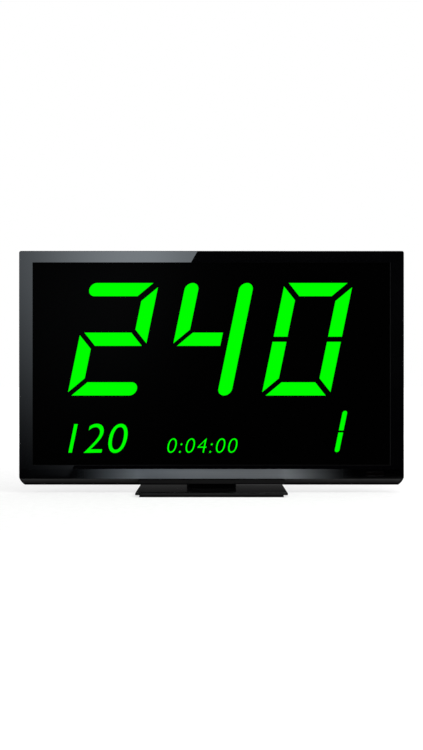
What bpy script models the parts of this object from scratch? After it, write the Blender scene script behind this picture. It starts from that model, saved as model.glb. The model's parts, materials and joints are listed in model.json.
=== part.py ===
"""Archery timer: a 50-inch class flat display on a low pedestal that swivels.

The display faces -Y and +X is to its right as the archers see it. The origin is on the floor,
under the middle of the pedestal. All sizes are in metres.
"""

import math

import bmesh
import bpy
from mathutils import Matrix, Vector

# Screen and cabinet, seen from the front
screen_width = 1.106
screen_height = 0.626
border_side = 0.043
border_top = 0.0371
border_bottom = 0.0624
floor_clearance = 0.0241
top_corner_radius = 0.006
front_edge_round = 0.0012
window_bevel = 0.0015

# Cut-off lower corners of the cabinet, and the share of the cut that its front face has
clip_side = 0.0160
clip_end = 0.0186
clip_easing = 1.25
clip_side_at_front = 0.55
clip_end_at_front = 0.30
corner_steps = 6

# Depth of the cabinet, from its front face to the back of its raised rear part
front_y = -0.036
bezel_depth = 0.020
edge_depth = 0.043
cabinet_depth = 0.066
shell_wall = 0.0025
bezel_front_wall = 0.003

# Clearances between pieces that touch and between pieces that slide
seat_gap = 0.0003
slide_gap = 0.0006

# How far a cutter runs past the face that it opens, and a joined shape into its carrier
cut_past = 0.004
join_depth = 0.0004

# Screws that join the rear cover to posts behind the front frame
fastening_inset = 0.0145
fastening_lower_height = 0.021
post_radius = 0.004
post_bore_radius = 0.0013
post_bore_depth = 0.010
boss_radius = 0.005
screw_well_radius = 0.0036
screw_hole_radius = 0.0017
screw_well_floor = 0.004

# Lower lip of the front frame; its profile is in shares of its depth and of its height
lip_height = 0.0186
lip_depth = 0.0135
lip_wall = 0.0020
lip_front_part = ((0.0, 1.0), (0.075, 0.87))
lip_rear_part = ((0.63, 0.24), (0.78, 0.08), (1.0, 0.0))

# Metal strip above the lip
strip_height = 0.0298
strip_thickness = 0.0012
strip_end_margin = 0.004
strip_shoulder = 0.0012

# Window of the remote receiver in the strip, and the board behind it
sensor_window_size = (0.050, 0.012)
sensor_from_side = 0.090
sensor_lens_thickness = 0.004
sensor_flange = (0.003, 0.0013)
sensor_board_distance = 0.004
sensor_board_border = 0.004
receiver_size = 0.007
lamp_radius = 0.0015
lamp_from_receiver = 0.015

# Screen module, in the order in which its layers lie
cell_overlap = 0.005
cell_thickness = 0.0018
module_margin = 0.014
mid_frame_wall = 0.0016
mid_frame_ledge = 0.0017
mid_frame_window_margin = 0.001
mid_frame_short_of_tray = 0.0015
tray_sheet = 0.0010
sheets_thickness = 0.0012
light_guide_thickness = 0.0035
reflector_thickness = 0.0005
layer_margin = 0.002

# Stiffening beads pressed in the tray: height and how far they stand out, and their ends
tray_bead = (0.012, 0.003)
tray_bead_from_side = 0.060
tray_bead_from_rail = 0.035
tray_bead_from_middle = 0.235

# Light bars: the room that they take, their thickness and their lamps
light_bar_room = 0.0090
light_bar_thickness = 0.0016
light_bar_from_side = 0.020
lamps_in_bar = 24
lamp_width = 0.007

# Wall mounting pattern, and the hat-section rails that carry it
mount_spacing = 0.400
mount_boss_radius = 0.009
mount_hole_radius = 0.0034
mount_hole_depth = 0.022
mount_boss_proud = 0.001
rail_length = 0.540
rail_height = 0.009
rail_sheet = 0.0015
rail_half_crest = 0.016
rail_half_width = 0.028

# Boards: columns of them lie outside the rails, on posts that stand on the tray
board_column_from_rail = 0.130
board_thickness = 0.0016
board_stand_off = 0.012
board_post_radius = 0.003
board_post_inset = 0.008
control_board_half = (0.100, 0.078)
power_board_half = (0.095, 0.085)
timing_board_half = (0.085, 0.025)
timing_board_above_middle = 0.150
heat_sink_half = 0.018
heat_sink_height = 0.014
heat_sink_foot = 0.003
heat_sink_fin = 0.0015
heat_sink_fins = 7
transformer_half = (0.020, 0.017)
transformer_height = 0.020
transformer_wall = 0.004
winding_radius = 0.013

# Leads between the boards
cable_width = 0.022
cable_thickness = 0.0004
cable_connector = (0.006, 0.003)
cable_above_bays = 0.060
cable_left_of_middle = 0.060
harness_radius = 0.0022
harness_connector = (0.010, 0.020, 0.008)
harness_above_bays = 0.018
harness_sag = 0.012
harness_points = 21

# Speakers on the floor of the cabinet
speaker_size = (0.180, 0.034)
speaker_from_side = 0.230
speaker_floor_gap = 0.0019
cone_radii = (0.003, 0.007)
cone_depth = 0.006
cone_stretch = 2.6

# Rear cover: how far its side starts and leans in, and the rim at its thin edge
cover_step_in = 0.0006
cover_lean = 0.0010
cover_rim_depth = 0.006
cover_rim = ((0.002, 0.0029), (0.0, 0.0094))

# Raised part of the rear cover; a rim is (distance from its back, how far drawn in)
plateau_border = 0.158
plateau_top_inset = 0.086
plateau_bottom_inset = 0.016
plateau_corner_radius = 0.040
plateau_foot_height = 0.002
plateau_foot_spread = 0.018
plateau_bottom_spread = 0.004
plateau_rim = ((0.004, 0.0), (0.001, 0.004), (0.0, 0.010))

# Height of the middle of the wall mount; the bays and the side keys are placed from it too
rear_middle_below_screen = 0.0115

# Sunk bays for the sockets and for the mains inlet
bays_below_middle = 0.088
bay_wall = 0.0025
terminal_bay_size = (0.200, 0.062)
mains_bay_size = (0.096, 0.048)

# Sockets
socket_pitch = 0.038
socket_length = 0.0204
socket_proud = 0.0008
socket_mouth_depth = 0.0115
tongue_set_back = 0.0015
latch_notch = (0.0062, 0.0022)
sound_bore_radius = 0.00185

# Mains inlet: its body, flange, socket and pins
inlet_from_bay_middle = 0.018
inlet_half = (0.0136, 0.0098)
inlet_flange = (0.0024, 0.0020)
inlet_wall = 0.0015
inlet_mouth_depth = 0.0165
inlet_corner = 0.0035
inlet_pin_places = ((0.0, 0.0040), (-0.0070, -0.0020), (0.0070, -0.0020))
inlet_pin_half = (0.0010, 0.0020)
inlet_pin_set_back = 0.0046

# Mains switch: its housing, and the rocker that tilts in it
switch_from_bay_middle = 0.027
switch_half = (0.0072, 0.0118)
switch_length = 0.013
switch_flange = (0.0016, 0.0018)
rocker_half = (0.0052, 0.0094)
rocker_end_room = 0.0010
rocker_tilt_degrees = 8.0
rocker_axis_sunk = 0.0010
rocker_crown = 0.0042
rocker_dish = 0.0012
rocker_shoulder = 0.0010
rocker_tail = (0.0040, 0.0020)
trunnion_radius = 0.0014
trunnion_reach = 0.0008

# Side keys, and the board with a switch behind each
key_names = ("power_key", "input_key", "menu_key", "volume_up_key", "volume_down_key")
keys_below_middle = 0.048
key_pitch = 0.023
key_size = (0.007, 0.014)
key_proud = 0.001
key_travel = 0.0008
key_edge_round = 0.0006
key_flange = (0.0016, 0.0012)
key_stem_radius = 0.0015
key_stem_from_side = 0.0095
key_switch_height = 0.0045
key_switch_body_half = 0.003
key_switch_button = (0.0017, 0.001)
key_board_half_width = 0.006
key_board_overhang = 0.020
key_board_post_radius = 0.0025

# Air and sound slots
vent_slot = (0.0035, 0.034)
vent_pitch = 0.014
vent_row_gap = 0.010
vents_in_row = 26
vents_from_top = 0.030
lower_vents_in_row = 16
lower_vents_middle = 0.260
lower_vents_above_edge = 0.046
sound_slot = (0.0030, 0.0095)
sound_pitch = 0.0085
sound_slots_in_row = 18

# Pedestal base
base_width = 0.457
base_depth = 0.330
base_height = 0.012
base_corner_radius = 0.004
base_rim_bottom = 0.0061
base_undercut = 0.0122
base_top_chamfer = 0.0010
base_edge_land = 0.0004
foot_radius = 0.011
foot_height = 0.002
foot_inset = 0.052
foot_edge_round = 0.0004
weight_plate_inset = 0.032
weight_plate_thickness = 0.004

# Swivel
swivel_limit_degrees = 15.0
turntable_radius = 0.084
turntable_thickness = 0.004
glide_ring_radius = 0.068
glide_ring_width = 0.010
glide_ring_thickness = 0.0008
stop_circle_radius = 0.040
stop_pin_radius = 0.003
stop_pin_reach = 0.0018
stud_radius = 0.004
stud_above_nut = 0.0015
stud_chamfer = 0.0006
washer_radius = 0.009
washer_thickness = 0.0012
nut_radius = 0.0075
nut_height = 0.0065

# Neck
collar_width = 0.154
collar_wall = 0.0025
collar_corner_radius = 0.006
collar_below_cabinet = 0.0005
upright_width = 0.120
upright_depth = 0.029
upright_height = 0.200
upright_sheet = 0.003
upright_top_slope = (0.0205, 0.060)
nut_room_radius = 0.0105
recess_side_clearance = 0.006
recess_above_upright = 0.012
recess_corner_radius = 0.004
neck_cover_thickness = 0.0022
neck_cover_sunk = 0.0002
neck_cover_room = 0.0065
neck_cover_above_edge = 0.006
neck_cover_hook = (0.0020, 0.012, 0.016)
neck_cover_hook_inset = (0.020, 0.040)
bracket_width = 0.180
bracket_flange = 0.022
bracket_sheet = 0.002
bracket_margin = 0.018

# Screws of the neck: their places, their shank and their pan head
neck_screw_spread = 0.080
neck_screw_heights = (0.090, 0.165)
neck_screw_length = 0.0115
foot_screw_spread = 0.0864
foot_screw_end_gap = 0.0004
neck_screw_radius = 0.0025
pan_head_radii = (0.0034, 0.0045)
pan_head_height = 0.0028

# Sizes that follow from the ones above
cabinet_width = screen_width + 2 * border_side
cabinet_height = screen_height + border_top + border_bottom
cabinet_bottom = floor_clearance
cabinet_top = cabinet_bottom + cabinet_height
cabinet_middle = (cabinet_bottom + cabinet_top) / 2
screen_middle = cabinet_bottom + border_bottom + screen_height / 2
rear_middle = screen_middle - rear_middle_below_screen
strip_bottom = cabinet_bottom + lip_height + strip_shoulder
bezel_back_y = front_y + bezel_depth
edge_y = front_y + edge_depth
back_y = front_y + cabinet_depth
cell_front_y = front_y + bezel_front_wall + seat_gap
frame_front_y = cell_front_y + cell_thickness + seat_gap
sheets_front_y = frame_front_y + mid_frame_ledge + seat_gap
guide_front_y = sheets_front_y + sheets_thickness + seat_gap
reflector_front_y = guide_front_y + light_guide_thickness + seat_gap
tray_floor_y = reflector_front_y + reflector_thickness + seat_gap
tray_back_y = tray_floor_y + tray_sheet
tray_margin = module_margin - mid_frame_wall - seat_gap
light_guide_margin = tray_margin - tray_sheet - light_bar_room
cover_front_y = bezel_back_y + seat_gap
cover_flat_end_y = edge_y - cover_rim_depth
board_y = tray_back_y + board_stand_off
board_back_y = board_y + board_thickness
bay_floor_y = board_back_y + seat_gap + socket_length - socket_proud
bay_middle_x = mount_spacing / 2 + board_column_from_rail
bay_middle_z = rear_middle - bays_below_middle
terminal_bay_centre = (-bay_middle_x, bay_middle_z)
mains_bay_centre = (bay_middle_x, bay_middle_z)
key_y = (cover_front_y + cover_flat_end_y - shell_wall) / 2
speaker_x = cabinet_width / 2 - speaker_from_side
pivot_y = back_y - neck_cover_room - upright_depth / 2
recess_floor_y = pivot_y - upright_depth / 2 - seat_gap
weight_plate_z = foot_height + seat_gap
glide_z = weight_plate_z + weight_plate_thickness + seat_gap
turntable_z = glide_z + glide_ring_thickness + seat_gap
turntable_top = turntable_z + turntable_thickness
upright_z = turntable_top + seat_gap

parts = bpy.data.collections.new("archery_timer")
cutters = bpy.data.collections.new("cutters")


def clear_scene():
    """Removes what the start-up file holds and makes the two collections."""
    for obj in list(bpy.data.objects):
        bpy.data.objects.remove(obj, do_unlink=True)
    bpy.context.scene.collection.children.link(parts)
    bpy.context.scene.collection.children.link(cutters)


# Finishes


def finish(name, colour, roughness, metallic=0.0):
    """A plain Principled material of that name, made once."""
    made = bpy.data.materials.get(name)
    if made:
        return made
    made = bpy.data.materials.new(name)
    made.use_nodes = True
    shader = made.node_tree.nodes["Principled BSDF"]
    shader.inputs["Base Color"].default_value = (*colour, 1.0)
    shader.inputs["Roughness"].default_value = roughness
    shader.inputs["Metallic"].default_value = metallic
    return made


def gloss_black():
    return finish("gloss_black", (0.010, 0.011, 0.013), 0.10)


def satin_black():
    return finish("satin_black", (0.018, 0.018, 0.020), 0.45)


def screen_black():
    return finish("screen_black", (0.004, 0.004, 0.005), 0.30)


def hairline_metal():
    return finish("hairline_metal", (0.12, 0.13, 0.14), 0.30, 1.0)


def zinc_steel():
    return finish("zinc_steel", (0.55, 0.56, 0.57), 0.35, 1.0)


def bare_aluminium():
    return finish("bare_aluminium", (0.60, 0.60, 0.62), 0.40, 1.0)


def circuit_green():
    return finish("circuit_green", (0.02, 0.16, 0.07), 0.45)


def white_plastic():
    return finish("white_plastic", (0.80, 0.80, 0.78), 0.40)


def clear_acrylic():
    return finish("clear_acrylic", (0.85, 0.90, 0.90), 0.10)


def soft_rubber():
    return finish("soft_rubber", (0.03, 0.03, 0.03), 0.80)


def copper_winding():
    return finish("copper_winding", (0.60, 0.30, 0.12), 0.35, 1.0)


# Shapes


def from_bmesh(name, shape, group=None):
    """Turns a bmesh into an object with its origin in the middle of the shape.

    Without a group it is a helper, kept with the cutters.
    """
    points = [vert.co for vert in shape.verts]
    centre = Vector([(min(p[i] for p in points) + max(p[i] for p in points)) / 2 for i in range(3)])
    bmesh.ops.translate(shape, verts=shape.verts, vec=-centre)
    mesh = bpy.data.meshes.new(name)
    shape.to_mesh(mesh)
    shape.free()
    obj = bpy.data.objects.new(name, mesh)
    obj.location = centre
    (group or cutters).objects.link(obj)
    if group is None:
        obj.hide_render = True
        obj.display_type = "WIRE"
    return obj


def boxes(name, spans, group=None):
    """Boxes in one mesh, each from its low corner to its high corner."""
    shape = bmesh.new()
    for low, high in spans:
        size = Vector(high) - Vector(low)
        centre = (Vector(high) + Vector(low)) / 2
        place = Matrix.Translation(centre) @ Matrix.Diagonal((*size, 1.0))
        bmesh.ops.create_cube(shape, size=1.0, matrix=place)
    return from_bmesh(name, shape, group)


def box(name, low, high, group=None):
    return boxes(name, [(low, high)], group)


def grown(span, margin):
    """A box span made larger by a margin on every side."""
    low, high = span
    return [c - margin for c in low], [c + margin for c in high]


def rods(name, radius, ends, sides=12, group=None, tip_radius=None):
    """Round rods in one mesh, each between two points; a tip radius makes them taper."""
    shape = bmesh.new()
    for start, end in ends:
        along = Vector(end) - Vector(start)
        turn = along.to_track_quat("Z", "Y").to_matrix().to_4x4()
        place = Matrix.Translation((Vector(start) + Vector(end)) / 2) @ turn
        bmesh.ops.create_cone(
            shape,
            cap_ends=True,
            segments=sides,
            radius1=radius,
            radius2=radius if tip_radius is None else tip_radius,
            depth=along.length,
            matrix=place,
        )
    return from_bmesh(name, shape, group)


def rods_along_y(name, radius, places, start, end, sides=8):
    """Rods between two depths at each (x, z)."""
    return rods(name, radius, [((x, start, z), (x, end, z)) for x, z in places], sides)


def rods_along_z(name, radius, places, low, high, sides=16, group=None):
    """Rods between two heights at each (x, y)."""
    return rods(name, radius, [((x, y, low), (x, y, high)) for x, y in places], sides, group)


def evaluated_shape(drawn):
    """The bmesh that a curve or a profile evaluates to; the drawing itself is removed."""
    cutters.objects.link(drawn)
    bpy.context.view_layer.update()
    graph = bpy.context.evaluated_depsgraph_get()
    mesh = bpy.data.meshes.new_from_object(drawn.evaluated_get(graph))
    bpy.data.objects.remove(drawn)
    shape = bmesh.new()
    shape.from_mesh(mesh)
    bpy.data.meshes.remove(mesh)
    bmesh.ops.remove_doubles(shape, verts=shape.verts, dist=1e-6)
    return shape


# How a flat outline is laid in space before it is extruded along the named axis
LAY = {
    "X": Matrix(((0, 0, 1, 0), (1, 0, 0, 0), (0, 1, 0, 0), (0, 0, 0, 1))),
    "Y": Matrix(((1, 0, 0, 0), (0, 0, -1, 0), (0, 1, 0, 0), (0, 0, 0, 1))),
    "Z": Matrix.Identity(4),
}
ALONG = {"X": Vector((1, 0, 0)), "Y": Vector((0, 1, 0)), "Z": Vector((0, 0, 1))}


def outline_solid(name, loops, axis, low, high, group=None):
    """A flat outline, with any holes as further loops, extruded along an axis from low to high.

    Loops are in (x, y) for Z, (x, z) for Y and (y, z) for X.
    """
    curve = bpy.data.curves.new(name, "CURVE")
    curve.dimensions = "2D"
    curve.fill_mode = "BOTH"
    curve.extrude = (high - low) / 2
    for loop in loops:
        spline = curve.splines.new("POLY")
        spline.points.add(len(loop) - 1)
        spline.use_cyclic_u = True
        for point, (u, v) in zip(spline.points, loop):
            point.co = (u, v, 0, 1)
    shape = evaluated_shape(bpy.data.objects.new(name + "_outline", curve))
    shape.transform(LAY[axis])
    bmesh.ops.translate(shape, verts=shape.verts, vec=ALONG[axis] * (low + high) / 2)
    bmesh.ops.recalc_face_normals(shape, faces=shape.faces)
    return from_bmesh(name, shape, group)


def turned(name, profile, base, out=(0, 0, 1), sides=20, group=None, bored=False):
    """A turned shape that stands on a base point and faces out.

    The profile is (radius, height) from the top down its outer side. It starts and ends on
    the axis, or comes back up the bore if the shape is bored.
    """
    edges = [(i, i + 1) for i in range(len(profile) - 1)]
    if bored:
        edges.append((len(profile) - 1, 0))
    mesh = bpy.data.meshes.new(name + "_profile")
    mesh.from_pydata([(radius, 0, height) for radius, height in profile], edges, [])
    drawn = bpy.data.objects.new(name + "_profile", mesh)
    turning = drawn.modifiers.new("turning", "SCREW")
    turning.steps = sides
    turning.render_steps = sides
    turning.use_merge_vertices = True
    turning.merge_threshold = 1e-5
    shape = evaluated_shape(drawn)
    turn = Vector(out).to_track_quat("Z", "Y").to_matrix().to_4x4()
    shape.transform(Matrix.Translation(base) @ turn)
    return from_bmesh(name, shape, group)


def loft(name, rings, group=None):
    """A closed block through rings of points, which all have as many points."""
    shape = bmesh.new()
    rows = [[shape.verts.new(point) for point in ring] for ring in rings]
    count = len(rows[0])
    for near, far in zip(rows, rows[1:]):
        for i in range(count):
            j = (i + 1) % count
            shape.faces.new((near[i], near[j], far[j], far[i]))
    shape.faces.new(rows[0])
    shape.faces.new(rows[-1])
    bmesh.ops.recalc_face_normals(shape, faces=shape.faces)
    return from_bmesh(name, shape, group)


def combine(obj, tool, operation="DIFFERENCE"):
    modifier = obj.modifiers.new(tool.name, "BOOLEAN")
    modifier.operation = operation
    modifier.solver = "EXACT"
    modifier.object = tool
    return obj


def cut(obj, *tools):
    for tool in tools:
        combine(obj, tool)
    return obj


def join(obj, *tools):
    for tool in tools:
        combine(obj, tool, "UNION")
    return obj


def soften(obj, width, segments=2, angle=40):
    """Rounds the sharp edges."""
    modifier = obj.modifiers.new("rounded_edges", "BEVEL")
    modifier.width = width
    modifier.segments = segments
    modifier.limit_method = "ANGLE"
    modifier.angle_limit = math.radians(angle)
    return obj


def smooth(obj, angle=35):
    obj.data.shade_smooth()
    obj.data.set_sharp_from_angle(angle=math.radians(angle))
    return obj


def paint(obj, material):
    obj.data.materials.clear()
    obj.data.materials.append(material)
    return obj


def set_origin(obj, point):
    """Moves an object's origin without moving its shape."""
    shift = Vector(point) - obj.location
    obj.data.transform(Matrix.Translation(-shift))
    obj.location = point
    return obj


# Outlines


def rectangle(low, high):
    return [(low[0], low[1]), (high[0], low[1]), (high[0], high[1]), (low[0], high[1])]


def circle(centre, radius, steps):
    turns = [2 * math.pi * i / steps for i in range(steps)]
    return [(centre[0] + radius * math.cos(a), centre[1] + radius * math.sin(a)) for a in turns]


def arc_corner(radius, steps=corner_steps):
    """A round corner as (in from the side, in from the end) pairs, from the side to the end."""
    turns = [math.pi / 2 * i / steps for i in range(steps + 1)]
    return [(radius - radius * math.cos(a), radius - radius * math.sin(a)) for a in turns]


def clipped_corner(side_share=1.0, end_share=1.0):
    """The cut-off lower corner of the cabinet, eased into the side and the bottom edge."""
    side, end = clip_side * side_share, clip_end * end_share
    shares = [i / corner_steps for i in range(corner_steps + 1)]
    return [(side * t**clip_easing, end * (1 - t) ** clip_easing) for t in shares]


def framed(half_width, low, high, low_corner, high_corner):
    """An outline symmetric about the middle, from a lower and an upper corner shape."""
    right = [(half_width - side, low + end) for side, end in reversed(low_corner)]
    right += [(half_width - side, high - end) for side, end in high_corner]
    return right + [(-x, z) for x, z in reversed(right)]


def hat_section(half_crest, half_width, base, top, sheet):
    """The section of a bent sheet with a raised middle and a flange on each side."""
    right = [
        (half_crest, top - sheet),
        (half_crest, base),
        (half_width, base),
        (half_width, base + sheet),
        (half_crest + sheet, base + sheet),
        (half_crest + sheet, top),
    ]
    return right + [(-x, y) for x, y in reversed(right)]


def cabinet_ring(y, side, top, bottom, low_corner=None, high_corner=None):
    """One section of the cabinet across Y, drawn in from its outer faces."""
    outline = framed(
        cabinet_width / 2 - side,
        cabinet_bottom + bottom,
        cabinet_top - top,
        low_corner or clipped_corner(),
        high_corner or arc_corner(top_corner_radius),
    )
    return [(x, y, z) for x, z in outline]


def screen_rectangle(margin):
    """The screen's outline in X and Z, grown by a margin."""
    half_width = screen_width / 2 + margin
    half_height = screen_height / 2 + margin
    low = (-half_width, screen_middle - half_height)
    high = (half_width, screen_middle + half_height)
    return rectangle(low, high)


def screen_slab(name, margin, front, thickness, group=None):
    """A flat layer of the screen module."""
    (left, bottom), _, (right, top), _ = screen_rectangle(margin)
    return box(name, (left, front, bottom), (right, front + thickness, top), group)


# Front of the cabinet


def front_ring(depth, height, drawn_in):
    """One section of the front frame; the corner's cut grows as the lip falls away."""
    fall = 1 - height / lip_height
    corner = clipped_corner(
        clip_side_at_front + (1 - clip_side_at_front) * fall,
        clip_end_at_front + (1 - clip_end_at_front) * fall,
    )
    return cabinet_ring(front_y + depth, drawn_in, drawn_in, height, corner)


def front_bezel():
    """The glossy front frame: one moulding with a sloping lower lip and screw posts behind."""
    rings = [front_ring(0.0, lip_height, front_edge_round)]
    for depth, height in (lip_front_part + lip_rear_part)[1:]:
        rings.append(front_ring(depth * lip_depth, height * lip_height, 0.0))
    rings.append(front_ring(bezel_depth, 0.0, 0.0))
    bezel = loft("front_bezel", rings, parts)

    rings = [front_ring(bezel_front_wall, lip_height, shell_wall)]
    for depth, height in lip_rear_part:
        rings.append(front_ring(depth * lip_depth + lip_wall, height * lip_height + lip_wall, shell_wall))
    rings.append(front_ring(bezel_depth + cut_past, lip_wall, shell_wall))
    cavity = loft("bezel_cavity", rings)

    bevel = window_bevel
    sections = ((-bevel, 2 * bevel), (bevel, 0.0), (2 * bezel_front_wall, 0.0))
    rings = [[(x, front_y + depth, z) for x, z in screen_rectangle(margin)] for depth, margin in sections]
    window = loft("bezel_window", rings)

    half = cabinet_width / 2 - strip_end_margin + seat_gap
    channel = box(
        "strip_channel",
        (-half, front_y - cut_past, strip_bottom - seat_gap),
        (half, front_y + strip_thickness + seat_gap, strip_bottom + strip_height + seat_gap),
    )
    sensor_hole = box("sensor_hole", *grown(sensor_span(sensor_lens_thickness), seat_gap))
    cut(bezel, cavity, window, channel, sensor_hole)
    join(bezel, screw_posts())
    bores = rods_along_y(
        "post_bores",
        post_bore_radius,
        fastening_places(),
        bezel_back_y - post_bore_depth,
        bezel_back_y + cut_past,
        sides=6,
    )
    return paint(smooth(cut(bezel, bores)), gloss_black())


def fastening_places():
    """(x, z) of the screws around the edge, in the space beside the screen module."""
    across = cabinet_width / 2 - fastening_inset
    above = cabinet_top - fastening_inset
    below = cabinet_bottom + fastening_lower_height
    places = [(x, above) for x in (-across, -across / 3, across / 3, across)]
    for side in (-1, 1):
        places += [(side * across, cabinet_middle + level * cabinet_height / 4) for level in (-1, 1)]
        places.append((side * (across - fastening_lower_height), below))
    return places


def screw_posts():
    """Posts behind the front frame that take the rear cover's screws."""
    start = front_y + bezel_front_wall / 2
    return rods_along_y("screw_posts", post_radius, fastening_places(), start, bezel_back_y)


def trim_strip():
    """The brushed metal strip set into the lower part of the front frame."""
    half = cabinet_width / 2 - strip_end_margin
    strip = box(
        "trim_strip",
        (-half, front_y, strip_bottom),
        (half, front_y + strip_thickness, strip_bottom + strip_height),
        parts,
    )
    cut(strip, box("strip_sensor_hole", *grown(sensor_span(sensor_lens_thickness), seat_gap)))
    return paint(strip, hairline_metal())


def sensor_span(thickness):
    """The remote receiver's window, at the right end of the metal strip."""
    x = cabinet_width / 2 - sensor_from_side
    z = strip_bottom + strip_height / 2
    half = (sensor_window_size[0] / 2, sensor_window_size[1] / 2)
    return (x - half[0], front_y, z - half[1]), (x + half[0], front_y + thickness, z + half[1])


def sensor_window():
    """A smoked lens with a flange that holds it behind the front wall."""
    lens = box("sensor_window", *sensor_span(sensor_lens_thickness), parts)
    width, thickness = sensor_flange
    low, high = sensor_span(0.0)
    front = front_y + bezel_front_wall + seat_gap
    flange = box(
        "sensor_flange",
        (low[0] - width, front, low[2] - width),
        (high[0] + width, front + thickness, high[2] + width),
    )
    return paint(join(lens, flange), screen_black())


def sensor_board():
    """The small board behind the window, with the receiver and the standby lamp."""
    low, high = sensor_span(0.0)
    x, z = (low[0] + high[0]) / 2, (low[2] + high[2]) / 2
    front = front_y + bezel_front_wall + seat_gap + sensor_flange[1] + seat_gap
    board_front = front + sensor_board_distance
    board = box(
        "sensor_board",
        (low[0] - sensor_board_border, board_front, low[2] - sensor_board_border),
        (high[0] + sensor_board_border, board_front + board_thickness, high[2] + sensor_board_border),
        parts,
    )
    half = receiver_size / 2
    end = board_front + join_depth
    receiver = box("receiver", (x - half, front, z - half), (x + half, end, z + half))
    lamp = rods_along_y("standby_lamp", lamp_radius, [(x - lamp_from_receiver, z)], front, end)
    return paint(join(board, receiver, lamp), circuit_green())


# Screen module


def screen_layers():
    """The flat layers: liquid crystal cell, optical sheets, light guide and reflector."""
    sheets_margin = tray_margin - tray_sheet - layer_margin
    layers = [
        ("lcd_panel", cell_overlap, cell_front_y, cell_thickness, screen_black()),
        ("diffuser_sheets", sheets_margin, sheets_front_y, sheets_thickness, white_plastic()),
        ("light_guide_plate", light_guide_margin, guide_front_y, light_guide_thickness, clear_acrylic()),
        ("reflector_sheet", light_guide_margin, reflector_front_y, reflector_thickness, white_plastic()),
    ]
    for name, margin, front, thickness, material in layers:
        paint(screen_slab(name, margin, front, thickness, parts), material)


def panel_mid_frame():
    """The plastic frame that clips over the tray and carries the cell on its ledge."""
    back = tray_back_y - mid_frame_short_of_tray
    loops = [screen_rectangle(module_margin), screen_rectangle(mid_frame_window_margin)]
    frame = outline_solid("panel_mid_frame", loops, "Y", frame_front_y, back, parts)
    ledge_back = frame_front_y + mid_frame_ledge
    depth = back - ledge_back + cut_past
    inside = screen_slab("mid_frame_inside", module_margin - mid_frame_wall, ledge_back, depth)
    return paint(cut(frame, inside), satin_black())


def backlight_tray():
    """The sheet-metal pan behind the light guide, with pressed stiffening beads."""
    front = sheets_front_y + seat_gap
    tray = screen_slab("backlight_tray", tray_margin, front, tray_back_y - front, parts)
    opening = front - cut_past
    pan = screen_slab("tray_inside", tray_margin - tray_sheet, opening, tray_floor_y - opening)
    cut(tray, pan)
    height, rise = tray_bead
    outer = screen_width / 2 - tray_bead_from_side
    inner = mount_spacing / 2 + rail_half_width + tray_bead_from_rail
    spans = []
    for level in (-1, 1):
        z = screen_middle + level * tray_bead_from_middle
        for side in (-1, 1):
            left, right = sorted((side * outer, side * inner))
            low = (left, tray_back_y - join_depth, z - height / 2)
            spans.append((low, (right, tray_back_y + rise, z + height / 2)))
    join(tray, boxes("tray_beads", spans))
    return paint(tray, zinc_steel())


def light_bar(name, side):
    """A strip of lamps along the top (1) or the bottom (-1) edge of the light guide."""
    half_length = screen_width / 2 - light_bar_from_side
    outer = screen_middle + side * (screen_height / 2 + tray_margin - tray_sheet - seat_gap)
    inner = outer - side * light_bar_thickness
    low, high = sorted((outer, inner))
    bar = box(name, (-half_length, guide_front_y, low), (half_length, reflector_front_y, high), parts)
    guide_edge = screen_middle + side * (screen_height / 2 + light_guide_margin + seat_gap)
    low, high = sorted((inner + side * join_depth, guide_edge))
    pitch = 2 * half_length / lamps_in_bar
    spans = []
    for i in range(lamps_in_bar):
        x = -half_length + pitch * (i + 0.5)
        front, back = guide_front_y + seat_gap, reflector_front_y - slide_gap
        spans.append(((x - lamp_width / 2, front, low), (x + lamp_width / 2, back, high)))
    return paint(join(bar, boxes(name + "_lamps", spans)), white_plastic())


def mount_places():
    """(x, z) of the four wall mounting screws."""
    half = mount_spacing / 2
    return [(x, rear_middle + z) for x in (-half, half) for z in (-half, half)]


def wall_mount_rail(name, side):
    """A hat-section rail behind the tray, with the welded bosses that take a wall bracket."""
    base = tray_back_y + seat_gap
    top = base + rail_height
    middle = side * mount_spacing / 2
    section = hat_section(rail_half_crest, rail_half_width, base, top, rail_sheet)
    outline = [(middle + x, y) for x, y in section]
    low, high = rear_middle - rail_length / 2, rear_middle + rail_length / 2
    rail = outline_solid(name, [outline], "Z", low, high, parts)
    places = [place for place in mount_places() if place[0] == middle]
    face = back_y + mount_boss_proud
    start = top - rail_sheet / 2
    bosses = rods_along_y(name + "_bosses", mount_boss_radius, places, start, face, 16)
    hole_end = face - mount_hole_depth
    holes = rods_along_y(name + "_holes", mount_hole_radius, places, hole_end, face + cut_past, 10)
    return paint(cut(join(rail, bosses), holes), zinc_steel())


# Boards and other things inside


def circuit_board(name, centre, half, chips, cans=()):
    """A board on four posts that stand on the tray, with its larger components.

    Chips are (x, z, width, height, thickness) and cans (x, z, radius, height), from the middle.
    """
    x, z = centre
    low, high = (x - half[0], z - half[1]), (x + half[0], z + half[1])
    board = box(name, (low[0], board_y, low[1]), (high[0], board_back_y, high[1]), parts)
    post_x, post_z = half[0] - board_post_inset, half[1] - board_post_inset
    posts = [(x + side * post_x, z + level * post_z) for side in (-1, 1) for level in (-1, 1)]
    seat = board_back_y - join_depth
    join(board, rods_along_y(name + "_posts", board_post_radius, posts, tray_back_y + seat_gap, seat, 6))
    spans = []
    for chip_x, chip_z, width, height, thickness in chips:
        low = (x + chip_x - width / 2, seat, z + chip_z - height / 2)
        high = (x + chip_x + width / 2, board_back_y + thickness, z + chip_z + height / 2)
        spans.append((low, high))
    join(board, boxes(name + "_chips", spans))
    for i, (can_x, can_z, radius, height) in enumerate(cans):
        place = [(x + can_x, z + can_z)]
        join(board, rods_along_y(f"{name}_can_{i}", radius, place, seat, board_back_y + height, 12))
    return paint(board, circuit_green())


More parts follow.
